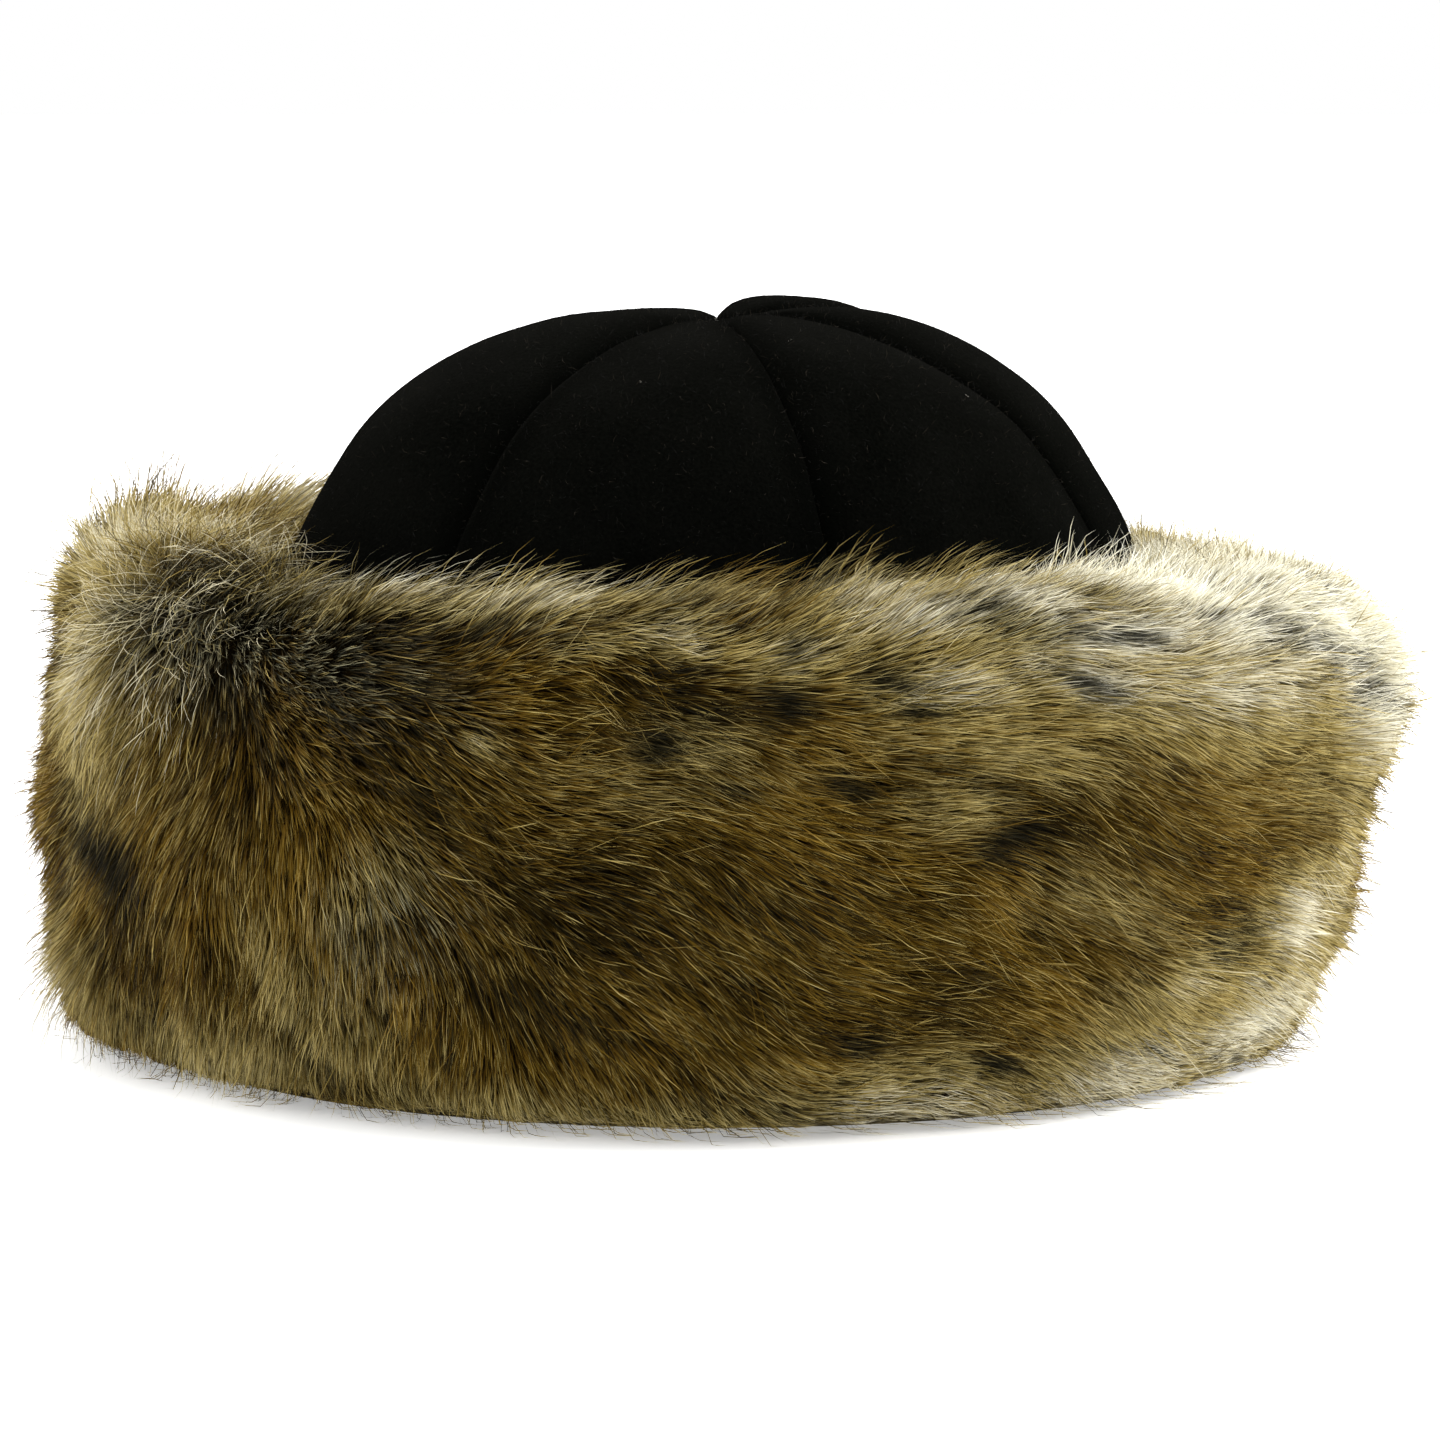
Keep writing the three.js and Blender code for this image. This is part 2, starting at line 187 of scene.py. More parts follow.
class Nodes:
    """Builds a material's nodes one after another."""

    def __init__(self, name: str) -> None:
        """Starts a material that has only its output and its shader.

        Args:
            name: The material's name.
        """
        self.material = bpy.data.materials.new(name)
        self.material.use_nodes = True
        self.tree = self.material.node_tree
        self.shader = self.tree.nodes["Principled BSDF"]

    def link(self, source: bpy.types.NodeSocket, target: bpy.types.NodeSocket) -> None:
        """Joins an output to an input."""
        self.tree.links.new(source, target)

    def put(self, value: object, socket: bpy.types.NodeSocket) -> None:
        """Links a socket, or sets a number or colour, on an input."""
        if isinstance(value, bpy.types.NodeSocket):
            self.link(value, socket)
        elif isinstance(value, tuple) and len(value) == 3:
            socket.default_value = (*value, 1.0)
        else:
            socket.default_value = value

    def set(self, node: bpy.types.Node, **inputs: object) -> None:
        """Sets or links a node's inputs, named with _ for each space.

        Args:
            node: The node.
            **inputs: A socket to link, or a value to set, for each named input.
        """
        for name, value in inputs.items():
            self.put(value, node.inputs[name.replace("_", " ")])

    def attribute(self, name: str) -> bpy.types.Node:
        """A node that reads one of the mesh's attributes."""
        node = self.tree.nodes.new("ShaderNodeAttribute")
        node.attribute_name = name
        return node

    def place(self) -> bpy.types.NodeSocket:
        """The place on the piece, in metres."""
        return self.tree.nodes.new("ShaderNodeTexCoord").outputs["Object"]

    def noise(self, place: bpy.types.NodeSocket, size: float, detail: float = 2.0) -> bpy.types.NodeSocket:
        """Noise from 0 to 1.

        Args:
            place: Where it is read.
            size: Its grain, in metres.
            detail: How many finer layers it has.

        Returns:
            The noise's value.
        """
        node = self.tree.nodes.new("ShaderNodeTexNoise")
        self.set(node, Vector=place, Scale=1.0 / size, Detail=detail)
        return node.outputs["Fac"]

    def ramp(self, value: bpy.types.NodeSocket, stops: list[tuple[float, Colour]]) -> bpy.types.NodeSocket:
        """Colours along a value.

        Args:
            value: What picks the colour.
            stops: The places of the colours, from 0 to 1, and the colours.

        Returns:
            The colour.
        """
        node = self.tree.nodes.new("ShaderNodeValToRGB")
        elements = node.color_ramp.elements
        while len(elements) < len(stops):
            elements.new(0.5)
        for element, (place, colour) in zip(elements, stops):
            element.position = place
            element.color = (*colour, 1.0)
        self.link(value, node.inputs["Fac"])
        return node.outputs["Color"]

    def math(
        self, operation: str, first: object, second: object, clamp: bool = False
    ) -> bpy.types.NodeSocket:
        """One sum of two values.

        Args:
            operation: Blender's name of the sum.
            first: A socket or number.
            second: A socket or number.
            clamp: Whether the result is kept from 0 to 1.

        Returns:
            The result.
        """
        node = self.tree.nodes.new("ShaderNodeMath")
        node.operation = operation
        node.use_clamp = clamp
        for socket, value in zip(node.inputs, (first, second)):
            self.put(value, socket)
        return node.outputs["Value"]

    def times(self, first: object, second: object) -> bpy.types.NodeSocket:
        """The product of two values, kept from 0 to 1."""
        return self.math("MULTIPLY", first, second, clamp=True)

    def sum_of(self, *terms: tuple[bpy.types.NodeSocket, float], start: float) -> bpy.types.NodeSocket:
        """Adds values up, kept from 0 to 1.

        Args:
            *terms: Each value and its weight.
            start: What the sum starts from.

        Returns:
            The sum.
        """
        total = start
        for value, weight in terms:
            total = self.math("ADD", self.math("MULTIPLY", value, weight), total)
        return self.times(total, 1.0)

    def step(self, value: bpy.types.NodeSocket, low: float, high: float) -> bpy.types.NodeSocket:
        """Eases a value from 0 at low to 1 at high."""
        node = self.tree.nodes.new("ShaderNodeMapRange")
        node.interpolation_type = "SMOOTHSTEP"
        self.set(node, Value=value, From_Min=low, From_Max=high)
        return node.outputs["Result"]

    def split(self, vector: bpy.types.NodeSocket) -> list[bpy.types.NodeSocket]:
        """The three numbers of a vector."""
        node = self.tree.nodes.new("ShaderNodeSeparateXYZ")
        self.link(vector, node.inputs[0])
        return list(node.outputs)

    def mix(self, share: object, first: object, second: object) -> bpy.types.NodeSocket:
        """Mixes two colours.

        Args:
            share: How much of the second, a socket or number.
            first: A socket or colour.
            second: A socket or colour.

        Returns:
            The mixed colour.
        """
        node = self.tree.nodes.new("ShaderNodeMix")
        node.data_type = "RGBA"
        for number, value in ((0, share), (6, first), (7, second)):
            self.put(value, node.inputs[number])
        return node.outputs[2]

    def bump(self, height: bpy.types.NodeSocket, distance: float, strength: float) -> None:
        """Gives the shader a relief.

        Args:
            height: Its height, from 0 to 1.
            distance: The height of 1, in metres.
            strength: How much of it shows.
        """
        node = self.tree.nodes.new("ShaderNodeBump")
        self.set(node, Height=height, Distance=distance, Strength=strength)
        self.link(node.outputs["Normal"], self.shader.inputs["Normal"])


@dataclass(frozen=True)
class FeltFinish:
    """Black wool felt: matte, its short fibres matted both ways and worn a little, with painted shade that
    darkens it in the seams.

    Attributes:
        deep: Colour in the hollows of the felt, and of the painted shade in the seams.
        worn: Colour of its raised fibres.
        fibre: Size of the matted fibres.
        cloud: Size of the patches where the nap lies differently.
        seam_shade: How far the felt is darkened to its deep colour in the seams, as painted shade.
        sheen: Strength of the pale sheen where the felt turns away.
        sheen_tint: Colour of that sheen.
    """

    deep: Colour = (0.0006, 0.0007, 0.0005)
    worn: Colour = (0.0026, 0.0027, 0.0022)
    fibre: float = 0.7 * MM
    cloud: float = 18 * MM
    seam_shade: float = 0.8
    sheen: float = 0.009
    sheen_tint: Colour = (0.60, 0.58, 0.52)

    def material(self) -> bpy.types.Material:
        """Makes the material."""
        nodes = Nodes("black_felt")
        place = nodes.place()
        fibres = nodes.noise(place, self.fibre, 4.0)
        clouds = nodes.noise(place, self.cloud, 3.0)
        both = nodes.sum_of((fibres, 0.6), (clouds, 0.4), start=0.0)
        colour = nodes.ramp(both, [(0.3, self.deep), (0.75, self.worn)])
        # Painted shade: near the seams the felt's colour is mixed towards its deep colour.
        seam = nodes.times(nodes.attribute("seam").outputs["Fac"], self.seam_shade)
        colour = nodes.mix(seam, colour, self.deep)
        rough = nodes.ramp(clouds, [(0.3, (0.88,) * 3), (0.7, (0.98,) * 3)])
        nodes.set(nodes.shader, Base_Color=colour, Roughness=rough, Specular_IOR_Level=0.0,
                  Sheen_Weight=self.sheen, Sheen_Roughness=0.4, Sheen_Tint=self.sheen_tint)
        nodes.bump(fibres, 0.4 * MM, 0.6)
        return nodes.material


@dataclass(frozen=True)
class FuzzFinish:
    """The loose fibres that stand off the felt.

    Attributes:
        dark: Colour of most of them.
        light: Colour of the palest.
    """

    dark: Colour = (0.003, 0.003, 0.0025)
    light: Colour = (0.030, 0.024, 0.017)

    def material(self) -> bpy.types.Material:
        """Makes the material."""
        nodes = Nodes("felt_fuzz")
        strand = nodes.attribute("strand").outputs["Fac"]
        colour = nodes.ramp(strand, [(0.7, self.dark), (1.0, self.light)])
        nodes.set(nodes.shader, Base_Color=colour, Roughness=0.9, Specular_IOR_Level=0.1)
        return nodes.material


@dataclass(frozen=True)
class LintFinish:
    """Pale lint caught on the felt.

    Attributes:
        dull: Its darkest colour.
        pale: Its palest colour.
    """

    dull: Colour = (0.16, 0.15, 0.13)
    pale: Colour = (0.55, 0.52, 0.45)

    def material(self) -> bpy.types.Material:
        """Makes the material."""
        nodes = Nodes("lint")
        grain = nodes.noise(nodes.place(), 0.8 * MM)
        colour = nodes.ramp(grain, [(0.35, self.dull), (0.65, self.pale)])
        nodes.set(nodes.shader, Base_Color=colour, Roughness=0.8)
        return nodes.material


@dataclass(frozen=True)
class FurFinish:
    """The cuff's hairs, each dark at the root, brown along its middle and golden, cream or dark at the tip.

    Attributes:
        root: Colour at the skin.
        pale_root: Colour at the skin in a very pale patch.
        browns: The browns of the hairs' middles, from the darkest patches to the lightest.
        golds: The colours of their tips, in the same order.
        straw: Colour of the few light tips among the brown ones.
        tan: Colour of a hair's middle in a slightly pale patch.
        honey: Colour of its tip.
        cream: Colour of a hair's middle in a very pale patch.
        white: Colour of its tip.
        umber: Colour of the few dark hairs among the others.
        black: Colour in a dark patch, partly the fur's own dark hair and partly painted shade.
        slate: Colour of a hair's middle in a grey patch.
        ash: Colour of a tip in a grey patch.
        patch: Size of the patches where the browns change.
        weights: How much the patches, the hair's own chance and its lock count in how light it is.
        darkest: What is added to their sum.
        stops: The lightness of each of the browns and golds.
        light_tips: Chances between which a hair has a light tip.
        dark_hairs: Chances between which a hair is dark.
        dark_share: How dark those are, and how much less in a very pale patch.
        half_pale: Pale tones between which a patch becomes slightly pale.
        full_pale: Pale tones between which it becomes very pale.
        ash_locks: How light a grey patch's locks are where their tips turn to ash.
        middle_at: Shares of a hair's length between which the root's colour changes to the middle's.
        tip_at: Shares between which the middle's colour changes to the tip's.
        darkening: How much of a dark patch is black.
    """

    root: Colour = (0.004, 0.003, 0.001)
    pale_root: Colour = (0.20, 0.17, 0.10)
    browns: tuple[Colour, ...] = ((0.018, 0.010, 0.0012), (0.056, 0.029, 0.0025), (0.11, 0.058, 0.005))
    golds: tuple[Colour, ...] = ((0.058, 0.036, 0.005), (0.148, 0.092, 0.012), (0.28, 0.182, 0.032))
    straw: Colour = (0.46, 0.35, 0.11)
    tan: Colour = (0.20, 0.145, 0.036)
    honey: Colour = (0.50, 0.41, 0.17)
    cream: Colour = (0.61, 0.57, 0.41)
    white: Colour = (0.89, 0.865, 0.74)
    umber: Colour = (0.013, 0.009, 0.002)
    black: Colour = (0.006, 0.006, 0.0035)
    slate: Colour = (0.018, 0.020, 0.014)
    ash: Colour = (0.44, 0.41, 0.25)
    patch: float = 24 * MM
    weights: tuple[float, float, float] = (1.3, 0.3, 0.25)
    darkest: float = -0.42
    stops: tuple[float, ...] = (0.2, 0.5, 0.85)
    light_tips: Pair = (0.80, 0.84)
    dark_hairs: Pair = (0.20, 0.14)
    dark_share: Pair = (0.85, -0.75)
    half_pale: Pair = (0.1, 0.5)
    full_pale: Pair = (0.5, 1.0)
    ash_locks: Pair = (0.15, 0.6)
    middle_at: Pair = (0.1, 0.55)
    tip_at: Pair = (0.5, 1.0)
    darkening: float = 0.96

    def material(self) -> bpy.types.Material:
        """Makes the material."""
        nodes = Nodes("brown_fur")
        along = nodes.attribute("along").outputs["Fac"]
        strand = nodes.attribute("strand").outputs["Fac"]
        lock = nodes.attribute("lock").outputs["Fac"]
        pale, dark, grey = nodes.split(nodes.attribute("marking").outputs["Vector"])
        patches = nodes.noise(nodes.attribute("root_place").outputs["Vector"], self.patch, 3.0)
        terms = zip((patches, strand, lock), self.weights)
        lightness = nodes.sum_of(*terms, start=self.darkest)
        middle = nodes.ramp(lightness, list(zip(self.stops, self.browns)))
        tip = nodes.ramp(lightness, list(zip(self.stops, self.golds)))
        tip = nodes.mix(nodes.step(strand, *self.light_tips), tip, self.straw)
        # The pale tone is mostly the fur's own pale hair; along the foot it is painted light.
        half_pale, full_pale = nodes.step(pale, *self.half_pale), nodes.step(pale, *self.full_pale)
        middle = nodes.mix(full_pale, nodes.mix(half_pale, middle, self.tan), self.cream)
        tip = nodes.mix(full_pale, nodes.mix(half_pale, tip, self.honey), self.white)
        middle = nodes.mix(grey, middle, self.slate)
        tip = nodes.mix(nodes.times(grey, nodes.step(lock, *self.ash_locks)), tip, self.ash)
        most, less = self.dark_share
        dark_share = nodes.sum_of((full_pale, less), start=most)
        dark_hair = nodes.times(nodes.step(strand, *self.dark_hairs), dark_share)
        middle = nodes.mix(dark_hair, middle, self.umber)
        tip = nodes.mix(dark_hair, tip, self.umber)
        root = nodes.mix(full_pale, self.root, self.pale_root)
        colour = nodes.mix(nodes.step(along, *self.middle_at), root, middle)
        colour = nodes.mix(nodes.step(along, *self.tip_at), colour, tip)
        # Dark patches turn the hair black: partly its own dark underfur, partly painted shade in creases,
        # hollows and the hole at the whorl.
        colour = nodes.mix(nodes.times(dark, self.darkening), colour, self.black)
        nodes.set(nodes.shader, Base_Color=colour, Roughness=0.55, Specular_IOR_Level=0.02)
        return nodes.material


@dataclass(frozen=True)
class UndercoatFinish:
    """The dense short wool under the hairs, streaked and dark.

    Attributes:
        deep: Colour between its fibres.
        wool: Colour of its fibres.
        pale_wool: Colour of its fibres in a pale patch.
        fibre: Size of its grain.
        patch: Size of the patches where the fibres are thicker.
        pale_tones: Pale tones between which it becomes pale.
        contrast: Thicknesses between which a place changes from deep to wool.
    """

    deep: Colour = (0.003, 0.002, 0.001)
    wool: Colour = (0.020, 0.012, 0.002)
    pale_wool: Colour = (0.22, 0.18, 0.09)
    fibre: float = 1.2 * MM
    patch: float = 22 * MM
    pale_tones: Pair = (0.2, 1.0)
    contrast: Pair = (0.3, 0.7)

    def material(self) -> bpy.types.Material:
        """Makes the material."""
        nodes = Nodes("fur_undercoat")
        place = nodes.place()
        fibres = nodes.noise(place, self.fibre, 4.0)
        patches = nodes.noise(place, self.patch)
        both = nodes.math("MULTIPLY", fibres, nodes.math("ADD", patches, 0.5))
        # The pale tone: the fur's own pale patches, and painted light along the foot.
        pale = nodes.split(nodes.attribute("marking").outputs["Vector"])[Tone.PALE.value]
        wool = nodes.mix(nodes.step(pale, *self.pale_tones), self.wool, self.pale_wool)
        colour = nodes.mix(nodes.step(both, *self.contrast), self.deep, wool)
        nodes.set(nodes.shader, Base_Color=colour, Roughness=0.9, Specular_IOR_Level=0.02)
        nodes.bump(fibres, 0.8 * MM, 0.8)
        return nodes.material


@dataclass(frozen=True)
class FloorFinish:
    """Plain white paper, lit a little from below.

    Attributes:
        paper: Its colour.
        glow: How bright it is by itself.
        grain: Size of its faint unevenness.
        dimmest: Brightness of its dimmest places, compared with the paper's colour.
    """

    paper: Colour = (0.9, 0.9, 0.89)
    glow: float = 0.4
    grain: float = 50 * MM
    dimmest: float = 0.985

    def material(self) -> bpy.types.Material:
        """Makes the material."""
        nodes = Nodes("white_paper")
        grain = nodes.noise(nodes.place(), self.grain)
        dim = tuple(self.dimmest * part for part in self.paper)
        colour = nodes.ramp(grain, [(0.0, dim), (1.0, self.paper)])
        nodes.set(nodes.shader, Base_Color=colour, Roughness=0.9, Specular_IOR_Level=0.0,
                  Emission_Color=colour, Emission_Strength=self.glow)
        return nodes.material


@dataclass
class Studio:
    """The camera at the photograph's angle, a pale floor and soft light.

    Attributes:
        azimuth: Where the camera stands round the hat.
        elevation: How far above the floor's level it looks down from, in degrees.
        distance: From the camera to the point it aims at.
        aim_height: Height of that point.
        view_width: Width of the picture at that point.
        sensor: Width of the camera's sensor, in millimetres.
        floor_radius: Radius of the floor.
        sky: Strength of the light from all round.
        lamps: The soft lamps: strength, spread, degrees round the hat from the camera, and elevation.
    """

    azimuth: float = 225.0
    elevation: float = 6.0
    distance: float = 1.3
    aim_height: float = 68.5 * MM
    view_width: float = 305 * MM
    sensor: float = 36.0
    floor_radius: float = 30.0
    sky: float = 1.0
    lamps: dict[str, tuple[float, float, float, float]] = field(default_factory=lambda: {
        "top_light": (2.2, 60.0, 120.0, 66.0),
        "right_light": (4.0, 50.0, 108.0, 30.0),
        "left_light": (2.6, 50.0, -112.0, 30.0),
    })

    def camera(self) -> None:
        """Makes the camera and sets it as the scene's."""
        back = towards(self.azimuth, self.elevation)
        lens = bpy.data.cameras.new("camera")
        lens.sensor_width = self.sensor
        lens.lens = self.sensor * self.distance / self.view_width
        viewer = bpy.data.objects.new("camera", lens)
        viewer.location = Vector((0, 0, self.aim_height)) + back * self.distance
        viewer.rotation_mode = "QUATERNION"
        viewer.rotation_quaternion = (-back).to_track_quat("-Z", "Y")
        bpy.context.scene.collection.objects.link(viewer)
        bpy.context.scene.camera = viewer

    def floor(self) -> None:
        """Makes the floor, which is no part of the hat."""
        bpy.ops.mesh.primitive_circle_add(vertices=64, radius=self.floor_radius, fill_type="NGON")
        floor = bpy.context.object
        floor.name = "floor"
        floor.data.materials.append(FloorFinish().material())

    def lights(self) -> None:
        """Lights the hat from all round, from above and along its two sides."""
        world = bpy.data.worlds.new("studio")
        world.use_nodes = True
        background = world.node_tree.nodes["Background"]
        background.inputs["Color"].default_value = (1.0, 1.0, 1.0, 1.0)
        background.inputs["Strength"].default_value = self.sky
        bpy.context.scene.world = world
        for name, (strength, spread, turn, rise) in self.lamps.items():
            self.sun_light(name, strength, spread, (self.azimuth + turn, rise))
        bpy.context.scene.view_settings.view_transform = "Standard"

    def sun_light(self, name: str, strength: float, spread: float, place: tuple[float, float]) -> None:
        """Adds a soft light that is the same everywhere.

        Args:
            name: Its name.
            strength: Its strength.
            spread: How wide it looks from the hat, in degrees.
            place: The azimuth and elevation that it comes from.
        """
        light = bpy.data.lights.new(name, "SUN")
        light.energy = strength
        light.angle = math.radians(spread)
        lamp = bpy.data.objects.new(name, light)
        lamp.rotation_mode = "QUATERNION"
        lamp.rotation_quaternion = towards(*place).to_track_quat("Z", "Y")
        bpy.context.scene.collection.objects.link(lamp)


def clear_selection() -> None:
    """Deselects everything, in object mode."""
    if bpy.context.object and bpy.context.object.mode != "OBJECT":
        bpy.ops.object.mode_set(mode="OBJECT")
    bpy.ops.object.select_all(action="DESELECT")


def pick(piece: bpy.types.Object) -> None:
    """Makes one piece the only one selected, and the active one."""
    clear_selection()
    piece.select_set(True)
    bpy.context.view_layer.objects.active = piece


def apply_modifier(piece: bpy.types.Object, kind: str, **settings: object) -> None:
    """Adds a modifier to a piece and applies it.

    Args:
        piece: The piece.
        kind: Blender's name of the modifier's type.
        **settings: The modifier's settings.
    """
    pick(piece)
    modifier = piece.modifiers.new(kind.lower(), kind)
    for name, value in settings.items():
        setattr(modifier, name, value)
    bpy.ops.object.modifier_apply(modifier=modifier.name)


def vertex_places(piece: bpy.types.Object) -> np.ndarray:
    """The places of a piece's vertices, one in each row."""
    points = np.empty(len(piece.data.vertices) * 3, np.float32)
    piece.data.vertices.foreach_get("co", points)
    return points.reshape(-1, 3)


def swell(piece: bpy.types.Object, distance: float, shares: np.ndarray) -> None:
    """Moves a piece's surface outwards, or inwards where the distance is negative.

    Args:
        piece: The piece.
        distance: How far.
        shares: The share of that at each vertex.
    """
    group = piece.vertex_groups.new(name="swell")
    shares = np.round(shares, 2)
    for share in np.unique(shares):
        group.add(np.flatnonzero(shares == share).tolist(), float(share), "REPLACE")
    apply_modifier(piece, "DISPLACE", strength=distance, mid_level=0.0, vertex_group=group.name)
    piece.vertex_groups.clear()


def copy_of_node(node: str, name: str) -> bpy.types.Object:
    """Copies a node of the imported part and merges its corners.

    Args:
        node: The node.
        name: The copy's name.

    Returns:
        The copy, in its place, with no material.
    """
    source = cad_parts[node]
    piece = bpy.data.objects.new(name, source.data.copy())
    piece.data.name = name
    piece.data.materials.clear()
    bpy.context.scene.collection.objects.link(piece)
    pick(piece)
    bpy.ops.object.mode_set(mode="EDIT")
    bpy.ops.mesh.select_all(action="SELECT")
    bpy.ops.mesh.remove_doubles(threshold=0.02 * MM)
    bpy.ops.object.mode_set(mode="OBJECT")
    return piece


def keep_largest_part(piece: bpy.types.Object) -> None:
    """Deletes the crumbs that remeshing leaves beside a piece."""
    shape = bmesh.new()
    shape.from_mesh(piece.data)
    left = set(shape.verts)
    parts = []
    while left:
        part, edge = set(), [left.pop()]
        while edge:
            vertex = edge.pop()
            part.add(vertex)
            for near in (link.other_vert(vertex) for link in vertex.link_edges):
                if near in left:
                    left.discard(near)
                    edge.append(near)
        parts.append(part)
    parts.sort(key=len)
    bmesh.ops.delete(shape, geom=[vertex for part in parts[:-1] for vertex in part], context="VERTS")
    shape.to_mesh(piece.data)
    shape.free()


def finish_piece(piece: bpy.types.Object, slot: Slot, material: bpy.types.Material, *nodes: str) -> None:
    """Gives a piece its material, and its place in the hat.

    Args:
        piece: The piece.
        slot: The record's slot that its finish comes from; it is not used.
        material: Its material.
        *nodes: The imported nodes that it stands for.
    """
    piece.data.materials.clear()
    piece.data.materials.append(material)
    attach(piece, BODY)
    if nodes:
        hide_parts(*nodes)
    log.info("%s: %d faces", piece.name, len(piece.data.polygons))


@dataclass
class Surface:
    """A mesh's surface, for finding places on it.

    Attributes:
        piece: The mesh's object.
        points: The places of its vertices.
        normals: Its normals there.
        corners: The numbers of the vertices at its triangles' corners.
        tree: The search tree of its vertices.
    """

    piece: bpy.types.Object
    points: np.ndarray = field(init=False)
    normals: np.ndarray = field(init=False)
    corners: np.ndarray = field(init=False)
    tree: KDTree = field(init=False)

    def __post_init__(self) -> None:
        """Reads the mesh."""
        mesh = self.piece.data
        mesh.calc_loop_triangles()
        normals = np.empty(len(mesh.vertices) * 3, np.float32)
        corners = np.empty(len(mesh.loop_triangles) * 3, np.int32)
        mesh.vertices.foreach_get("normal", normals)
        mesh.loop_triangles.foreach_get("vertices", corners)
        self.points = vertex_places(self.piece).astype(float)
        self.normals = normals.reshape(-1, 3).astype(float)
        self.corners = corners.reshape(-1, 3)
        self.tree = tree_of(self.points)

    def scatter(
        self, count: int, weights: np.ndarray, rng: np.random.Generator
    ) -> tuple[np.ndarray, np.ndarray]:
        """Picks random places.

        Args:
            count: How many.
            weights: How dense they are at each vertex, compared with each other.
            rng: The random numbers.

        Returns:
            The places and the normals there.
        """
        a, b, c = (self.points[self.corners[:, k]] for k in range(3))
        area = np.linalg.norm(np.cross(b - a, c - a), axis=1) * weights[self.corners].mean(axis=1)
        face = rng.choice(len(area), count, p=area / area.sum())
        u, v = rng.random(count), rng.random(count)
        over = u + v > 1.0
        u[over], v[over] = 1.0 - u[over], 1.0 - v[over]
        shares = np.stack([1.0 - u - v, u, v], axis=1)[:, :, None]
        places = (self.points[self.corners[face]] * shares).sum(axis=1)
        normals = unit((self.normals[self.corners[face]] * shares).sum(axis=1))
        return places, normals

    def nearest(self, places: np.ndarray) -> np.ndarray:
        """Number of the nearest vertex to each place."""
        find = self.tree.find
        return np.fromiter((find(place)[1] for place in places), int, len(places))

    def settle(self, places: np.ndarray, lift: np.ndarray) -> tuple[np.ndarray, np.ndarray]:
        """Brings places to a height above the surface.

        Args:
            places: Where they are.
            lift: The height of each above the surface.

        Returns:
            The moved places and the normals there.
        """
        near = self.nearest(places)
        normals = self.normals[near]
        height = ((places - self.points[near]) * normals).sum(axis=1)
        return places + normals * (lift - height)[:, None], normals


@dataclass(frozen=True)
class Nap:
    """How the fur lies: away from the whorl at the top of the back seam, and up over the cuff's ridge.

    Attributes:
        seam: Azimuth of the back seam.
        whorl: How far up the cuff's section the whorl is.
        crest: Radius of the ridge's top, from where the way up the section goes on inwards.
        girth: Length round the cuff.
        lies: The lie of the hair by its bearing from the whorl, both in degrees on the unrolled cuff, 0
            towards rising azimuth and 90 upwards.
        upturn: How far the hair turns up at the ridge.
        upturn_heights: Where that starts and ends.
        upturn_arc: Distance from the back seam over which it grows.
        upturn_fade: Distances between which it shrinks again.
        upturn_left: Share of it that is left beyond them.
        inner_radii: Radii between which it begins to turn up at any height, from the outer one inwards.
        front_fade: Degrees from the front within which the hair turns downward.
    """

    seam: float = 168.5
    whorl: float = 104.5 * MM
    crest: float = 122 * MM
    girth: float = 866 * MM
    lies: tuple[Pair, ...] = (
        (-180, -168), (-145, -140), (-115, -112), (-85, -95), (-60, -78), (-48, -70), (-42, -60),
        (-36, -40), (-31, -22), (-26, -15), (-10, -13), (0, -8), (20, 10), (60, 60), (100, 100),
        (140, 145), (180, 192),
    )
    upturn: float = 18.0
    upturn_heights: Pair = (82 * MM, 104 * MM)
    upturn_arc: float = 60 * MM
    upturn_fade: Pair = (170 * MM, 215 * MM)
    upturn_left: float = 0.1
    inner_radii: Pair = (128 * MM, 116 * MM)
    front_fade: float = 25.0

    def arc(self, points: np.ndarray) -> np.ndarray:
        """Distance of each point round the cuff from the back seam."""
        return (azimuth_of(points) - self.seam) / 360.0 * self.girth

    def rise(self, points: np.ndarray) -> np.ndarray:
        """How far up the cuff's section each point is from the whorl, over the ridge and on inwards."""
        return points[:, 2] - self.whorl + np.maximum(self.crest - radius_of(points), 0.0)

    def away(self, points: np.ndarray) -> np.ndarray:
        """Distance of each point from the whorl along the cuff."""
        return np.hypot(self.arc(points), self.rise(points))

    def lie(self, points: np.ndarray) -> np.ndarray:
        """The lie of the hair at each point, in degrees."""
        arc = self.arc(points)
        bearing = np.degrees(np.arctan2(self.rise(points), arc))
        table = np.array(self.lies, float)
        lie = np.interp(bearing, table[:, 0], table[:, 1])
        inside = smoothstep(radius_of(points), *self.inner_radii)
        high = np.maximum(smoothstep(points[:, 2], *self.upturn_heights), inside)
        side = np.sign(arc) * smoothstep(np.abs(arc), 0.0, self.upturn_arc)
        side = side * (1.0 - (1.0 - self.upturn_left) * smoothstep(np.abs(arc), *self.upturn_fade))
        front = smoothstep(180.0 - np.abs(azimuth_of(points) - 180.0), 0.0, self.front_fade)
        return -90.0 + (lie + self.upturn * high * side + 90.0) * front

    def directions(self, points: np.ndarray, normals: np.ndarray, turn: np.ndarray) -> np.ndarray:
        """The way the hair points.

        Args:
            points: The places.
            normals: The surface's normals there.
            turn: Degrees by which the hair lies off the nap.

        Returns:
            Unit vectors along the surface.
        """
        azimuth = np.radians(azimuth_of(points))
        rising = np.stack([np.cos(azimuth), np.sin(azimuth), np.zeros(len(points))], axis=1)
        rising = unit(rising - normals * (rising * normals).sum(axis=1, keepdims=True))
        upward = np.cross(normals, rising)
        lie = np.radians(self.lie(points) + turn)[:, None]
        return rising * np.cos(lie) + upward * np.sin(lie)


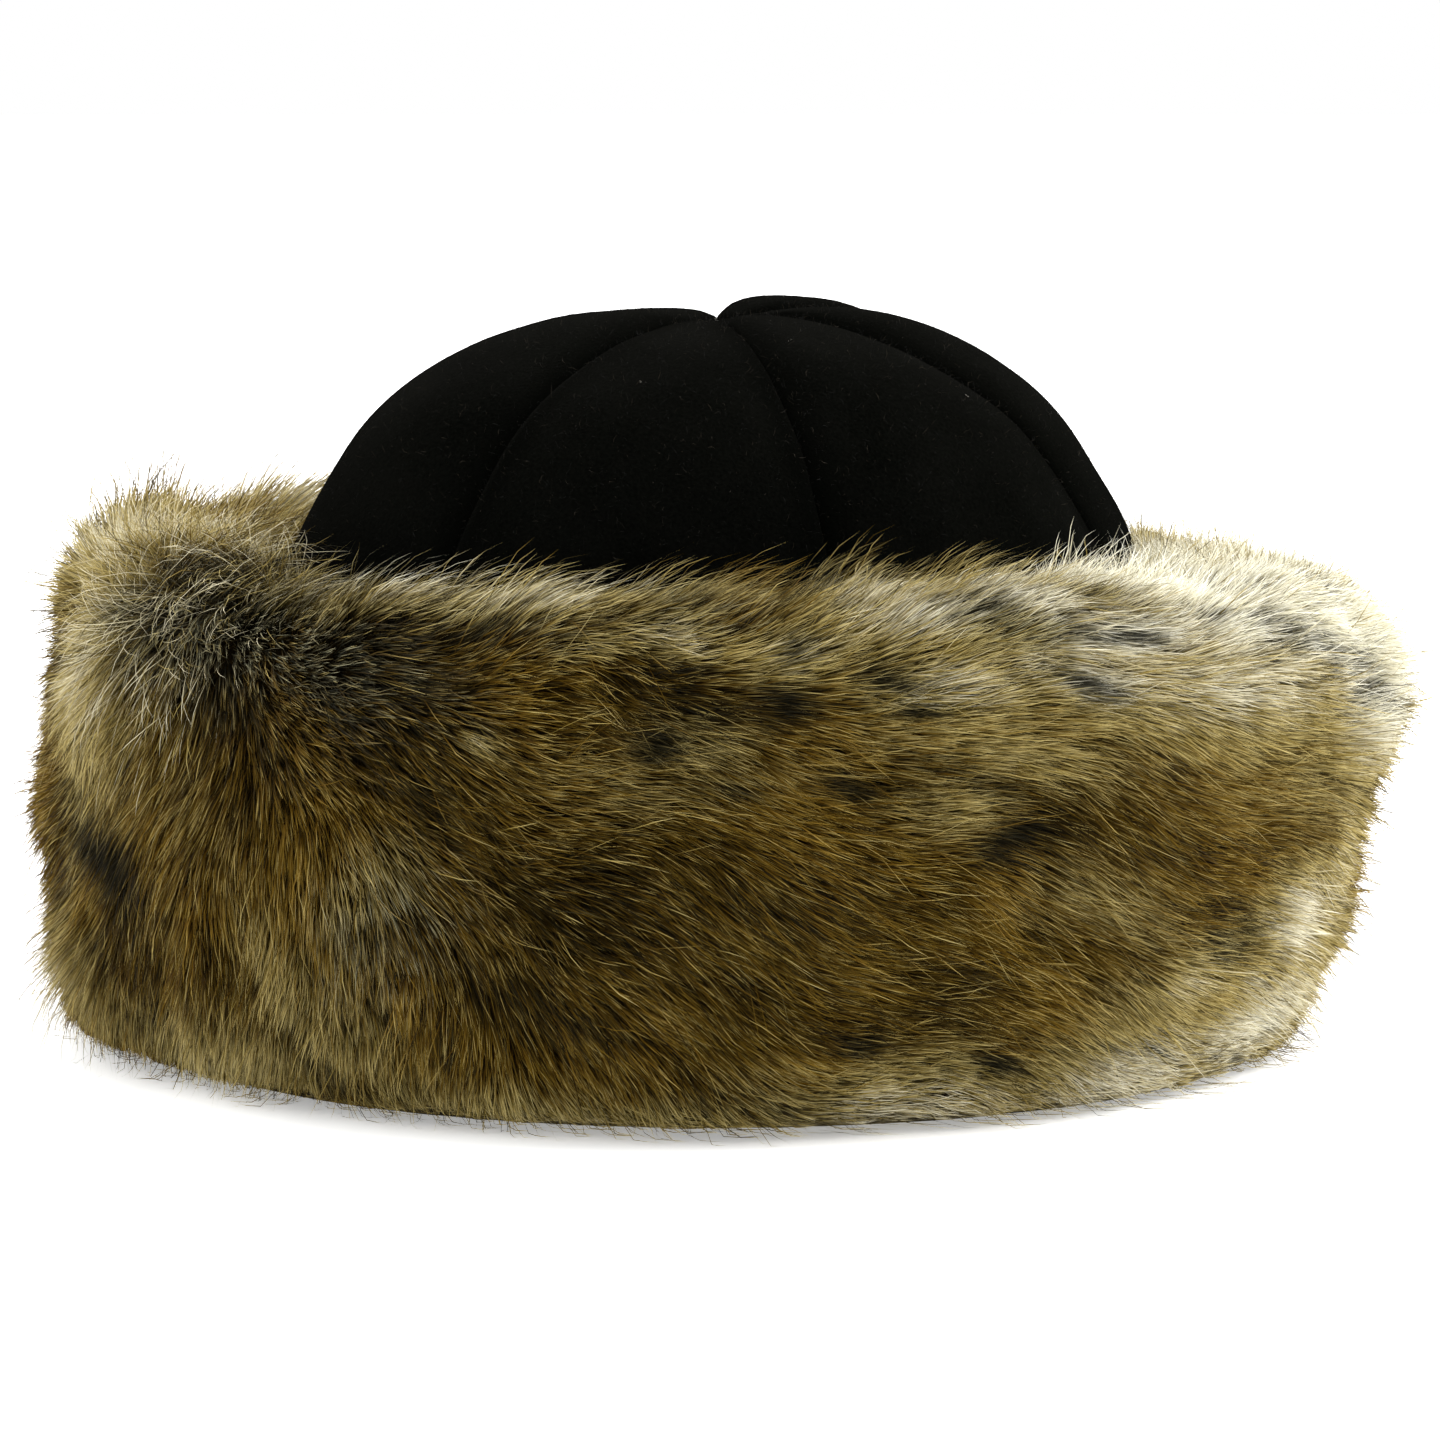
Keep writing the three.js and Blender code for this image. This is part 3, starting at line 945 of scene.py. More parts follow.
@dataclass(frozen=True)
class Marking:
    """A patch of another tone in the fur.

    Attributes:
        tone: What it does.
        azimuth: Where its middle is.
        height: Height of its middle.
        reach: How far it goes round the cuff each way.
        rise: How far it goes up and down each way.
        slant: How far it is turned, in degrees, the rising azimuth's end upwards.
        strength: How much it does.
        sharpness: How sharp its edge is.
    """

    tone: Tone
    azimuth: float
    height: float
    reach: float
    rise: float
    slant: float = 0.0
    strength: float = 1.0
    sharpness: float = 1.15

    def at(self, points: np.ndarray, girth: float) -> np.ndarray:
        """How much the marking does at each point, from 0 to its strength."""
        off = (azimuth_of(points) - self.azimuth + 180.0) % 360.0 - 180.0
        along, up = off / 360.0 * girth, points[:, 2] - self.height
        slant = math.radians(self.slant)
        first = (along * math.cos(slant) + up * math.sin(slant)) / self.reach
        second = (up * math.cos(slant) - along * math.sin(slant)) / self.rise
        return self.strength * np.exp(-((first**2 + second**2) ** self.sharpness))


def chart(tone: Tone, *rows: tuple[float, ...]) -> list[Marking]:
    """Markings of one tone, from rows of azimuth, height, reach, rise, slant and strength.

    Args:
        tone: Their tone.
        *rows: One row for each, its lengths in millimetres.

    Returns:
        The markings.
    """
    return [
        Marking(tone, azimuth, height * MM, reach * MM, rise * MM, slant, strength)
        for azimuth, height, reach, rise, slant, strength in rows
    ]


# Pale patches: the fur's own pale hair, except the rows whose middle is 6 mm or less above the floor, which
# are painted light where the floor's bounce lights the foot.
PALE_MARKINGS = chart(
    Tone.PALE,
    # Front and the side away from the photograph, guessed.
    (20, 100, 50, 15, 0, 0.85),
    (60, 40, 45, 16, 15, 0.5),
    # Painted light along the foot.
    (80, 4, 90, 7, 0, 0.45),
    (98, 98, 55, 16, 0, 0.85),
    (100, 112, 34, 10, 0, 0.7),
    (124, 30, 40, 20, -10, 0.5),
    # Back, round the seam.
    (150, 112, 34, 16, 0, 0.72),
    (150, 20, 22, 17, 0, 0.55),
    (156, 58, 16, 16, 0, 0.42),
    (160, 84, 26, 32, 0, 0.62),
    (169.5, 104.5, 3.2, 1.6, 0, 1.0),
    # Painted light along the foot.
    (172, 6, 40, 13, 0, 0.5),
    (173.5, 97.5, 4, 4.5, 0, 1.1),
    (176, 104, 2.8, 1.6, 0, 0.9),
    (176, 60, 18, 18, 0, 0.15),
    # Left half of the photographed side.
    (188, 22, 10, 22, 30, 0.42),
    (190, 16, 18, 14, 0, 0.38),
    (196, 108, 56, 9, 0, 0.7),
    (196, 48, 8, 16, -50, 0.4),
    (198, 110, 26, 7, 0, 0.9),
    (206, 79, 5, 4, 0, 0.6),
    # Painted light along the foot.
    (212, 2, 66, 8, 0, 0.5),
    (212, 107, 40, 4.5, 0, 0.74),
    (215, 98, 10, 4, 0, 0.5),
    (222, 98, 14, 5, -8, 0.66),
    (222, 72, 34, 8, 0, 0.25),
    (224, 79, 14, 6, 0, 0.32),
    # Painted light along the foot.
    (231, 2, 18, 4, 0, 0.5),
    (232, 96, 16, 8, 0, 0.6),
    # Right half of the photographed side.
    # Painted light along the foot.
    (244, 3, 44, 12, 0, 0.72),
    (244, 102, 32, 10, 4, 0.75),
    (246, 88.5, 24, 8, -4, 0.68),
    (246, 66, 16, 8, 0, 0.38),
    (250, 76, 34, 9, -8, 0.4),
    (256, 103.5, 22, 6.5, 0, 0.85),
    (256, 90, 30, 10, -14, 0.62),
    (260, 86.5, 18, 7, -4, 0.8),
    (262, 42, 30, 9, -20, 0.3),
    (264, 96, 34, 9, -3, 0.88),
    # Painted light along the foot.
    (268, 6, 44, 14, 6, 0.78),
    (272, 26, 26, 9, 8, 0.6),
    (278, 86, 66, 16, 0, 0.72),
    (284, 23, 12, 7, 0, 0.7),
    (286, 104, 60, 18, 0, 1.2),
    (290, 34, 22, 14, 0, 0.85),
    (290, 12, 42, 17, 8, 0.85),
    (291, 93, 16, 9, 0, 1.3),
    (292, 66, 46, 14, 0, 0.3),
    (300, 42, 18, 30, 0, 0.62),
    (302, 92, 36, 34, 0, 1.25),
    # Front again, guessed.
    (330, 98, 60, 17, 0, 0.95),
    (352, 30, 44, 20, 10, 0.5),
)
# Dark patches: partly the fur's own dark underfur, partly painted shade in the creases between masses of
# locks and in the hole at the whorl.
DARK_MARKINGS = chart(
    Tone.DARK,
    # Front and the side away from the photograph, guessed.
    (8, 52, 8, 4, 20, 1.3),
    (30, 76, 7, 3, 0, 1.1),
    (50, 60, 20, 9, 30, 0.6),
    (80, 70, 8, 3.4, 10, 1.3),
    (105, 52, 16, 7, 25, 0.7),
    (120, 82, 7, 3, 0, 1.1),
    # Back, round the seam.
    (162, 47, 21, 7, -22, 1.3),
    (169.2, 106.3, 9, 3, -19, 1.8),
    # Left half of the photographed side.
    (197, 82, 26, 13, -25, 0.6),
    (200, 86, 18, 12, -25, 0.55),
    (200, 97, 20, 4.5, -5, 0.65),
    (201, 67, 10, 8, -40, 0.75),
    (207.5, 99, 12, 3.5, 0, 0.5),
    (211, 27, 32, 6, -18, 0.6),
    (219, 46, 40, 16, -8, 0.42),
    (221, 79, 4.2, 2.8, 0, 1.6),
    (226, 9, 26, 4, -8, 0.4),
    (227, 69, 5, 2.2, -10, 0.8),
    (230, 34, 30, 8, -10, 0.36),
    (231, 86, 6, 3.2, -14, 1.5),
    (232, 47, 22, 11, -10, 0.5),
    (232, 96.5, 3.2, 3.2, 0, 1.3),
    (236, 69.5, 5.5, 2.6, -10, 1.4),
    (236, 20, 8, 3.4, -15, 1.0),
    (237, 108, 14, 3.5, 0, 0.6),
    # Right half of the photographed side.
    (240, 91, 6, 2.2, -12, 1.2),
    (242, 84, 4, 2, -12, 1.2),
    (246, 33, 9, 3, -20, 0.55),
    (250, 102, 7, 2.4, 4, 0.8),
    (251, 58.5, 9, 4, 14, 1.8),
    (252, 13, 7, 2.8, -10, 1.0),
    (258, 98.5, 8, 1.8, -12, 1.0),
    (259, 86, 7, 2.2, -20, 1.2),
    (264, 50, 26, 14, -10, 0.25),
    (264, 95.5, 9, 1.8, -16, 1.0),
    (276, 99.5, 7, 1.6, -3, 0.85),
    (283, 97, 6, 1.6, -6, 0.8),
    # Front again, guessed.
    (330, 70, 10, 3.4, -10, 1.3),
    (345, 88, 6, 3, 0, 1.1),
)
GREY_MARKINGS = chart(
    Tone.GREY,
    # Front and the side away from the photograph, guessed.
    (40, 96, 30, 8, 0, 0.45),
    (110, 74, 24, 10, 0, 0.4),
    # Back, round the seam.
    (168, 97, 13, 5, 0, 0.8),
    (178, 95, 24, 11, 0, 0.85),
    # Left half of the photographed side.
    (192, 92, 26, 8, -12, 0.7),
    (198, 40, 12, 16, -50, 0.5),
    (206, 102, 20, 5, 0, 0.35),
    (224, 104, 14, 4, 0, 0.4),
    # Right half of the photographed side.
    (251, 99, 16, 4, -8, 0.6),
    (262, 108, 16, 4, 0, 0.3),
    # Front again, guessed.
    (340, 60, 25, 12, 0, 0.4),
)
FULL_PATCHES = chart(
    Tone.FULL,
    (138, 106, 42, 16, 0, 0.6),
    (304, 78, 34, 16, 0, 0.6),
    (150, 30, 24, 14, 0, 0.35),
    (150, 70, 26, 12, 0, -0.3),
)


@dataclass(frozen=True)
class HairKind:
    """One kind of hair of the coat.

    Attributes:
        name: What it is called.
        count: How many there are.
        length: Its usual length.
        width: Its width at the middle.
        lift: How far its tip stands above the undercoat.
        stations: Shares of its length where it is bent.
        swirl: Degrees by which it lies off the nap.
        pull: How much its tip is drawn to the middle of its lock.
        seed: Start of its random numbers.
        home: Where it grows.
        pale_share: Share of it that is pale wherever it grows.
        paleness: How pale that is.
        spring: Least fullness with which it stands up.
        clearance: Least height above the floor.
    """

    name: str
    count: int
    length: float
    width: float
    lift: float
    stations: tuple[float, ...]
    swirl: float
    pull: float
    seed: int
    home: Home = Home.COAT
    pale_share: float = 0.0
    paleness: float = 0.45
    spring: float = 0.0
    clearance: float = 2.2 * MM


SHORT = HairKind(
    "short", 340_000, 9.5 * MM, 0.24 * MM, 5.2 * MM, (0.0, 0.5, 1.0), swirl=14.0, pull=0.3, seed=11,
)
LONG = HairKind(
    "long", 22_000, 15 * MM, 0.2 * MM, 7.5 * MM, (0.0, 0.35, 0.7, 1.0), swirl=16.0, pull=0.2, seed=17,
    pale_share=0.03, spring=0.4, clearance=1.2 * MM,
)
GUARD = HairKind(
    "guard", 11_000, 20 * MM, 0.13 * MM, 9.5 * MM, (0.0, 0.25, 0.5, 0.75, 1.0), swirl=20.0, pull=0.05,
    seed=23, home=Home.RIDGE, pale_share=0.1, spring=0.8, clearance=0.15 * MM,
)
WHORL = HairKind(
    "whorl", 3_200, 15 * MM, 0.14 * MM, 7 * MM, (0.0, 0.2, 0.4, 0.6, 0.8, 1.0), swirl=26.0, pull=0.0,
    seed=29, home=Home.WHORL, pale_share=0.35, paleness=0.75, spring=0.8,
)


@dataclass(frozen=True)
class Cover:
    """Where the hair grows. Each pair is where it begins, and where it is at its densest.

    Attributes:
        outside: Radii of the cuff, from the crown outwards.
        ridge: Heights on the ridge, where it also grows nearer to the crown.
        ridge_slope: Upward parts of the surface's normals there.
        sole_slope: Upward parts of the normals under the foot.
        least: Density in the bare places.
        top_edge: Heights of the closer hair along the ridge.
        foot_edge: Heights of the closer hair along the foot.
        closer: How much closer it is along those edges.
        whorl: Where the whorl's own hairs grow, as shares of its reach.
    """

    outside: Pair = (96 * MM, 104 * MM)
    ridge: Pair = (84 * MM, 94 * MM)
    ridge_slope: Pair = (-0.2, 0.2)
    sole_slope: Pair = (-0.95, -0.6)
    least: float = 0.02
    top_edge: Pair = (92 * MM, 106 * MM)
    foot_edge: Pair = (12 * MM, 5 * MM)
    closer: float = 2.0
    whorl: Pair = (1.3, 0.0)


@dataclass(frozen=True)
class Unevenness:
    """The noises that make the coat uneven, from its broad swells to its single strands.

    Attributes:
        swells: How far broad patches of the hair stand up, and how much that counts.
        clumps: How far narrow clumps do, and how much that counts.
        clump_reach: How far a clump is drawn out along the nap each way.
        strands: How light narrow strands are.
        strand_reach: How far a strand is drawn out each way.
        streak_steps: How many places along a clump or strand are read.
        streak_gain: What the noise is multiplied by after that.
        streak_most: Its largest value.
        turns: How the hair is turned off the nap, each noise with its share of the kind's swirl.
        warps: How the edges of the markings are bent, along x, y and z.
        warp_reach: How far they are bent.
        flecks: Where the small dark flecks are.
        fleck_weight: How much each of those noises counts.
        fringes: How unevenly the hair ends above the floor.
    """

    swells: tuple[SmoothNoise, float] = (SmoothNoise(16 * MM, 61), 0.6)
    clumps: tuple[SmoothNoise, float] = (SmoothNoise(6 * MM, 65), 0.7)
    clump_reach: float = 12 * MM
    strands: SmoothNoise = SmoothNoise(2.4 * MM, 66)
    strand_reach: float = 5 * MM
    streak_steps: int = 7
    streak_gain: float = 2.6
    streak_most: float = 1.2
    turns: tuple[tuple[SmoothNoise, float], ...] = (
        (SmoothNoise(24 * MM, 62), 1.6), (SmoothNoise(9 * MM, 63), 1.2), (SmoothNoise(3.5 * MM, 64), 0.9),
    )
    warps: tuple[SmoothNoise, ...] = tuple(SmoothNoise(11 * MM, seed) for seed in (41, 42, 43))
    warp_reach: float = 2.5 * MM
    flecks: tuple[SmoothNoise, ...] = (SmoothNoise(7 * MM, 51), SmoothNoise(15 * MM, 52))
    fleck_weight: float = 0.6
    fringes: tuple[SmoothNoise, ...] = (SmoothNoise(5 * MM, 71), SmoothNoise(0.5 * MM, 72))

    def streaks(self, points: np.ndarray, ahead: np.ndarray, noise: SmoothNoise, reach: float) -> np.ndarray:
        """Noise drawn out along the nap, as locks are.

        Args:
            points: Where it is read.
            ahead: The way the nap lies there.
            noise: The noise, its size the streaks' width.
            reach: How far the streaks are drawn each way.

        Returns:
            A value for each point, mostly from -1 to 1.
        """
        steps = np.linspace(-1.0, 1.0, self.streak_steps)
        total = sum(noise.at(points + ahead * (step * reach)) for step in steps)
        return np.clip(total / len(steps) * self.streak_gain, -self.streak_most, self.streak_most)

    def swell(self, points: np.ndarray, ahead: np.ndarray) -> np.ndarray:
        """How far the hair stands up in swells and clumps.

        Args:
            points: Where it is read.
            ahead: The way the nap lies there.

        Returns:
            A value for each point, mostly from -1 to 1.
        """
        (swells, broad), (clumps, narrow) = self.swells, self.clumps
        return broad * swells.at(points) + narrow * self.streaks(points, ahead, clumps, self.clump_reach)

    def strand(self, points: np.ndarray, ahead: np.ndarray) -> np.ndarray:
        """How light the hair is in narrow strands, from the points and the way the nap lies there."""
        return self.streaks(points, ahead, self.strands, self.strand_reach)

    def turn(self, points: np.ndarray, layers: int) -> np.ndarray:
        """How far the hair is turned off the nap, from as many of the noises as layers says."""
        return sum(noise.at(points) * share for noise, share in self.turns[:layers])

    def warped(self, points: np.ndarray) -> np.ndarray:
        """The points moved as the edges of the markings are bent."""
        return points + np.stack([noise.at(points) for noise in self.warps], axis=1) * self.warp_reach

    def fleck(self, points: np.ndarray) -> np.ndarray:
        """How much of a fleck there is at each point, mostly from -1 to 1."""
        return sum(noise.at(points) * self.fleck_weight for noise in self.flecks)

    def fringe(self, points: np.ndarray) -> np.ndarray:
        """How much higher than the lowest hairs the hair at each point ends, mostly from 0 to 1."""
        return sum(np.abs(noise.at(points)) for noise in self.fringes)


@dataclass(frozen=True)
class Growth:
    """How the hairs of a kind differ. Lengths and lifts are shares of the kind's own.

    Attributes:
        length: Length of the shortest hairs.
        own_length: How much longer the longest are by their own chance.
        lock_length: How much the length differs between locks.
        lift: Usual lift.
        swell_lift: How much the swells add to it or take away.
        lock_lift: How much the locks add.
        own_lift: How much the lift differs by the hairs' own chance.
        whorl_lift: How much the whorl adds.
        flat_length: Length where the hair lies flat, before the lengths that follow.
        full_length: How much longer it is where it stands up.
        tuft_length: How much longer it is in a tuft.
        whorl_length: How much longer it is round the whorl.
        foot_length: Length at the foot.
        foot_heights: Heights between which it grows from that to the whole.
        own_turn: How far a hair lies off its neighbours, as a share of the kind's swirl.
        most_turn: How many times that it lies off at most.
        lock_turn: How far the locks lie off each other, as a share of the kind's swirl.
        lowest: Least height of a tip above the undercoat.
        root_depth: How deep the roots are under it.
        rise: How early along its length a hair rises.
        gather: How late along its length a hair is drawn to its lock.
        width: Width of the narrowest hairs, as a share of the kind's.
        own_width: How much wider the widest are.
        twist: How far a hair is turned about itself each way.
    """

    length: float = 0.8
    own_length: float = 0.3
    lock_length: float = 0.25
    lift: float = 0.75
    swell_lift: float = 0.35
    lock_lift: float = 0.55
    own_lift: float = 0.3
    whorl_lift: float = 0.6
    flat_length: float = 0.75
    full_length: float = 0.25
    tuft_length: float = 0.5
    whorl_length: float = 0.35
    foot_length: float = 0.6
    foot_heights: Pair = (2 * MM, 24 * MM)
    own_turn: float = 0.9
    most_turn: float = 1.8
    lock_turn: float = 1.2
    lowest: float = 0.8 * MM
    root_depth: float = 0.6 * MM
    rise: float = 1.45
    gather: float = 1.4
    width: float = 0.65
    own_width: float = 0.7
    twist: float = math.radians(55)


@dataclass(frozen=True)
class Toning:
    """How the tones of the markings come out on single hairs.

    Attributes:
        flecks: Noise between which a dark fleck begins and is whole.
        fleck_dark: How dark the flecks are.
        hollows: Swell between which a hollow of the coat begins and is whole, where shade is painted.
        hollow_shade: How dark the shade painted into the hollows is.
        chances: How much each tone differs by the hairs' own chance.
        unmarked: Tone up to which a hair isn't in a marking.
        contrast: Dark or grey tones that come out as none and as the whole.
        strong_dark: Dark tones between which it shows on a pale hair too.
        lock: Middle of the lightness that the locks have.
        strand_lightness: How much it differs between strands.
        lock_lightness: How much it differs between locks.
    """

    flecks: Pair = (0.42, 0.8)
    fleck_dark: float = 0.4
    hollows: Pair = (-0.2, -0.9)
    hollow_shade: float = 0.5
    chances: tuple[float, float, float] = (0.16, 0.42, 0.38)
    unmarked: float = 0.04
    contrast: Pair = (0.05, 0.9)
    strong_dark: Pair = (0.6, 1.0)
    lock: float = 0.5
    strand_lightness: float = 0.35
    lock_lightness: float = 0.4


@dataclass(frozen=True)
class Locks:
    """The locks that the hair gathers in, with one random number from 0 to 1 for each of their traits.

    Attributes:
        middles: Where the middle of each grows.
        normals: The undercoat's normals there.
        length: How long its hairs are.
        lift: How far they stand up.
        turn: How far they lie off the nap.
        lightness: How light they are.
    """

    middles: np.ndarray
    normals: np.ndarray
    length: np.ndarray
    lift: np.ndarray
    turn: np.ndarray
    lightness: np.ndarray

    def nearest(self, roots: np.ndarray) -> np.ndarray:
        """Number of the lock that each hair is in."""
        find = tree_of(self.middles).find
        return np.fromiter((find(root)[1] for root in roots), int, len(roots))


@dataclass
class FurCuff:
    """The deep fur cuff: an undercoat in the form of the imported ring, and the hairs that grow from it.

    Attributes:
        nap: How the hair lies.
        cover: Where it grows.
        uneven: The noises that make it uneven.
        growth: How single hairs differ.
        toning: How their tones do.
        sink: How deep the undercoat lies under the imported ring's locks.
        sink_radii: Radii between which it comes to lie so deep, from the crown's side outwards.
        sole: Height up to which it lies less deep, under the foot.
        sole_share: Share of the depth there.
        sole_radii: Radii between which it grows to that share.
        voxel: Size of the undercoat's faces.
        smoothing: How often it is smoothed before and after it is sunk.
        lock_count: How many locks the hair gathers in.
        bands: How many pieces the short hair is parted in.
        section_middle: Radius and height of the section's middle, round which those pieces follow.
        whorl_reach: Distance from the whorl within which the hair stands up and is untidy.
        whorl_spread: Degrees by which it lies off the nap in the whorl's middle.
        tufts: Azimuth and reach, in degrees, of the places where the hair on the ridge stands up in a tuft.
        tuft_heights: Heights between which the tufts begin and are whole.
        tuft_lift: How much farther the hair stands up in them.
        fullness_steps: How far the hair stands up compared with its usual lift, by height in millimetres.
        fringe_height: How much higher than the lowest the hairs over the floor end.
        fringe_curve: How seldom they end so high.
        foot_spread: How far hairs that are kept above the floor spread out instead.
        foot_radius: Least radius from which they do.
        crown_side: Radius within which, and height above which, hairs are near the crown.
        crown_search: Distance over which the crown is looked for.
        crown_gap: Least distance of a hair's root from the crown.
        crown_step: How much more it is at each station.
        crown: The crown's surface.
        skin: The undercoat's surface.
        locks: The locks that the hair gathers in.
    """

    nap: Nap = field(default_factory=Nap)
    cover: Cover = field(default_factory=Cover)
    uneven: Unevenness = field(default_factory=Unevenness)
    growth: Growth = field(default_factory=Growth)
    toning: Toning = field(default_factory=Toning)
    sink: float = 4.6 * MM
    sink_radii: Pair = (88 * MM, 104 * MM)
    sole: float = 8 * MM
    sole_share: float = 0.75
    sole_radii: Pair = (110 * MM, 122 * MM)
    voxel: float = 3.5 * MM
    smoothing: tuple[int, int] = (8, 5)
    lock_count: int = 20_000
    bands: int = 8
    section_middle: Pair = (112 * MM, 60 * MM)
    whorl_reach: float = 26 * MM
    whorl_spread: float = 60.0
    tufts: tuple[Pair, ...] = ((165.0, 9.0), (142.0, 10.0), (99.0, 13.0))
    tuft_heights: Pair = (98 * MM, 105 * MM)
    tuft_lift: float = 1.1
    fullness_steps: tuple[Pair, ...] = ((0, 0.2), (10, 0.5), (30, 1.4), (60, 1.25), (88, 1.2), (106, 1.0))
    fringe_height: float = 2.6 * MM
    fringe_curve: float = 1.5
    foot_spread: float = 0.6
    foot_radius: float = 90 * MM
    crown_side: Pair = (104 * MM, 70 * MM)
    crown_search: float = 12 * MM
    crown_gap: float = 0.4 * MM
    crown_step: float = 2.0
    crown: BVHTree = field(init=False)
    skin: Surface = field(init=False)
    locks: Locks = field(init=False)

    def build(self, crown: BVHTree) -> None:
        """Makes the undercoat and the hairs.

        Args:
            crown: The crown's outside, which the hairs keep clear of.
        """
        undercoat = self.undercoat()
        finish_piece(undercoat, Slot.FUR, UndercoatFinish().material(), CUFF_NAME)
        self.crown = crown
        self.skin = Surface(undercoat)
        self.locks = self.part_locks()
        set_attribute(undercoat, "marking", self.markings(self.skin.points))
        fur = FurFinish().material()
        for kind, bands in ((SHORT, self.bands), (LONG, 1), (GUARD, 1), (WHORL, 1)):
            self.grow(kind, bands, fur)

    def undercoat(self) -> bpy.types.Object:
        """Makes the undercoat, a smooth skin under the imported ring's locks."""
        before, after = self.smoothing
        piece = copy_of_node(CUFF_NAME, "fur_undercoat")
        self.remesh(piece, before)
        points = vertex_places(piece)
        radius = radius_of(points)
        low = smoothstep(points[:, 2], 0.0, self.sole)
        foot = self.sole_share * smoothstep(radius, *self.sole_radii)
        swell(piece, -self.sink, (low + (1.0 - low) * foot) * smoothstep(radius, *self.sink_radii))
        self.remesh(piece, after)
        return piece

    def remesh(self, piece: bpy.types.Object, smoothing: int) -> None:
        """Gives a piece even faces.

        Args:
            piece: The piece.
            smoothing: How often it is smoothed after that.
        """
        apply_modifier(piece, "REMESH", mode="VOXEL", voxel_size=self.voxel, use_smooth_shade=True)
        keep_largest_part(piece)
        apply_modifier(piece, "SMOOTH", factor=0.5, iterations=smoothing)

    def part_locks(self) -> Locks:
        """Picks the locks' middles and their traits."""
        middles, normals = self.skin.scatter(self.lock_count, self.density(), np.random.default_rng(5))
        return Locks(middles, normals, *np.random.default_rng(6).random((self.lock_count, 4)).T)

    def density(self, home: Home = Home.COAT) -> np.ndarray:
        """How dense the hair is at each of the undercoat's vertices.

        Args:
            home: Where the hair grows.

        Returns:
            The density at each vertex, compared with the others.
        """
        points, facing_up, cover = self.skin.points, self.skin.normals[:, 2], self.cover
        outside = smoothstep(radius_of(points), *cover.outside)
        if home is Home.WHORL:
            return smoothstep(self.nap.away(points) / self.whorl_reach, *cover.whorl) * outside
        ridge = smoothstep(points[:, 2], *cover.ridge) * smoothstep(facing_up, *cover.ridge_slope)
        density = np.maximum(outside, ridge) * smoothstep(facing_up, *cover.sole_slope) + cover.least
        if home is Home.RIDGE:
            edges = (smoothstep(points[:, 2], *edge) for edge in (cover.top_edge, cover.foot_edge))
            density *= 1.0 + cover.closer * max_of(*edges)
        return density

    def markings(self, points: np.ndarray) -> np.ndarray:
        """The three tones at each point, as shares from 0 to 1: the fur's own markings, with painted light
        along the foot and painted shade in its creases.
        """
        places = self.uneven.warped(points)
        tones = np.zeros((len(points), 3))
        for marking in (*PALE_MARKINGS, *DARK_MARKINGS, *GREY_MARKINGS):
            column = marking.tone.value
            tones[:, column] = np.maximum(tones[:, column], marking.at(places, self.nap.girth))
        flecks = self.toning.fleck_dark * smoothstep(self.uneven.fleck(points), *self.toning.flecks)
        tones[:, Tone.DARK.value] = np.maximum(tones[:, Tone.DARK.value], flecks)
        return np.clip(tones, 0.0, 1.0)

    def walk(
        self, roots: np.ndarray, normals: np.ndarray, kind: HairKind, length: np.ndarray, lift: np.ndarray,
        turn: np.ndarray,
    ) -> np.ndarray:
        """Lays hairs along the nap from their roots.

        Args:
            roots: Where they grow.
            normals: The undercoat's normals there.
            kind: Their kind.
            length: The length of each.
            lift: How far each tip stands above the undercoat.
            turn: Degrees by which each lies off the nap.

        Returns:
            The places along each hair, by hair and station.
        """
        lift = np.maximum(lift, self.growth.lowest)
        place, way = roots, normals
        path = [roots - normals * self.growth.root_depth]
        for before, now in zip(kind.stations, kind.stations[1:]):
            ahead = self.nap.directions(place, way, turn)
            height = lift * (1.0 - (1.0 - now) ** self.growth.rise)
            place, way = self.skin.settle(place + ahead * (length * (now - before))[:, None], height)
            path.append(place)
        return np.stack(path, axis=1)

    def grow(self, kind: HairKind, bands: int, material: bpy.types.Material) -> None:
        """Grows one kind of hair, parted in pieces from the foot up.

        Args:
            kind: The kind.
            bands: How many pieces it is parted in.
            material: The hair's material.
        """
        rng = np.random.default_rng(kind.seed)
        roots, normals = self.skin.scatter(kind.count, self.density(kind.home), rng)
        lock = self.locks.nearest(roots)
        ahead = self.nap.directions(roots, normals, np.zeros(kind.count))
        swells = self.uneven.swell(roots, ahead)
        length, lift = self.lengths(kind, roots, lock, swells, rng)
        paths = self.walk(roots, normals, kind, length, lift, self.turns(kind, roots, rng))
        paths = self.keep_clear(self.gathered(kind, paths, lock), kind.clearance)
        widths = kind.width * (self.growth.width + self.growth.own_width * rng.random(kind.count))
        twist = self.growth.twist * rng.uniform(-1.0, 1.0, kind.count)
        tones = self.tones(kind, paths, swells, rng)
        strand = rng.random(kind.count)
        lightness = self.lightness(roots, ahead, lock)
        order = np.argsort(self.way_up(roots))
        for number, members in enumerate(np.array_split(order, bands), start=1):
            name = f"fur_{kind.name}_{number}" if bands > 1 else f"fur_{kind.name}"
            piece = hair_piece(name, paths[members], normals[members], widths[members], twist[members])
            values = {"strand": strand[members], "lock": lightness[members]}
            hair_attributes(piece, kind.stations, roots[members], tones[members], values)
            finish_piece(piece, Slot.FUR, material)

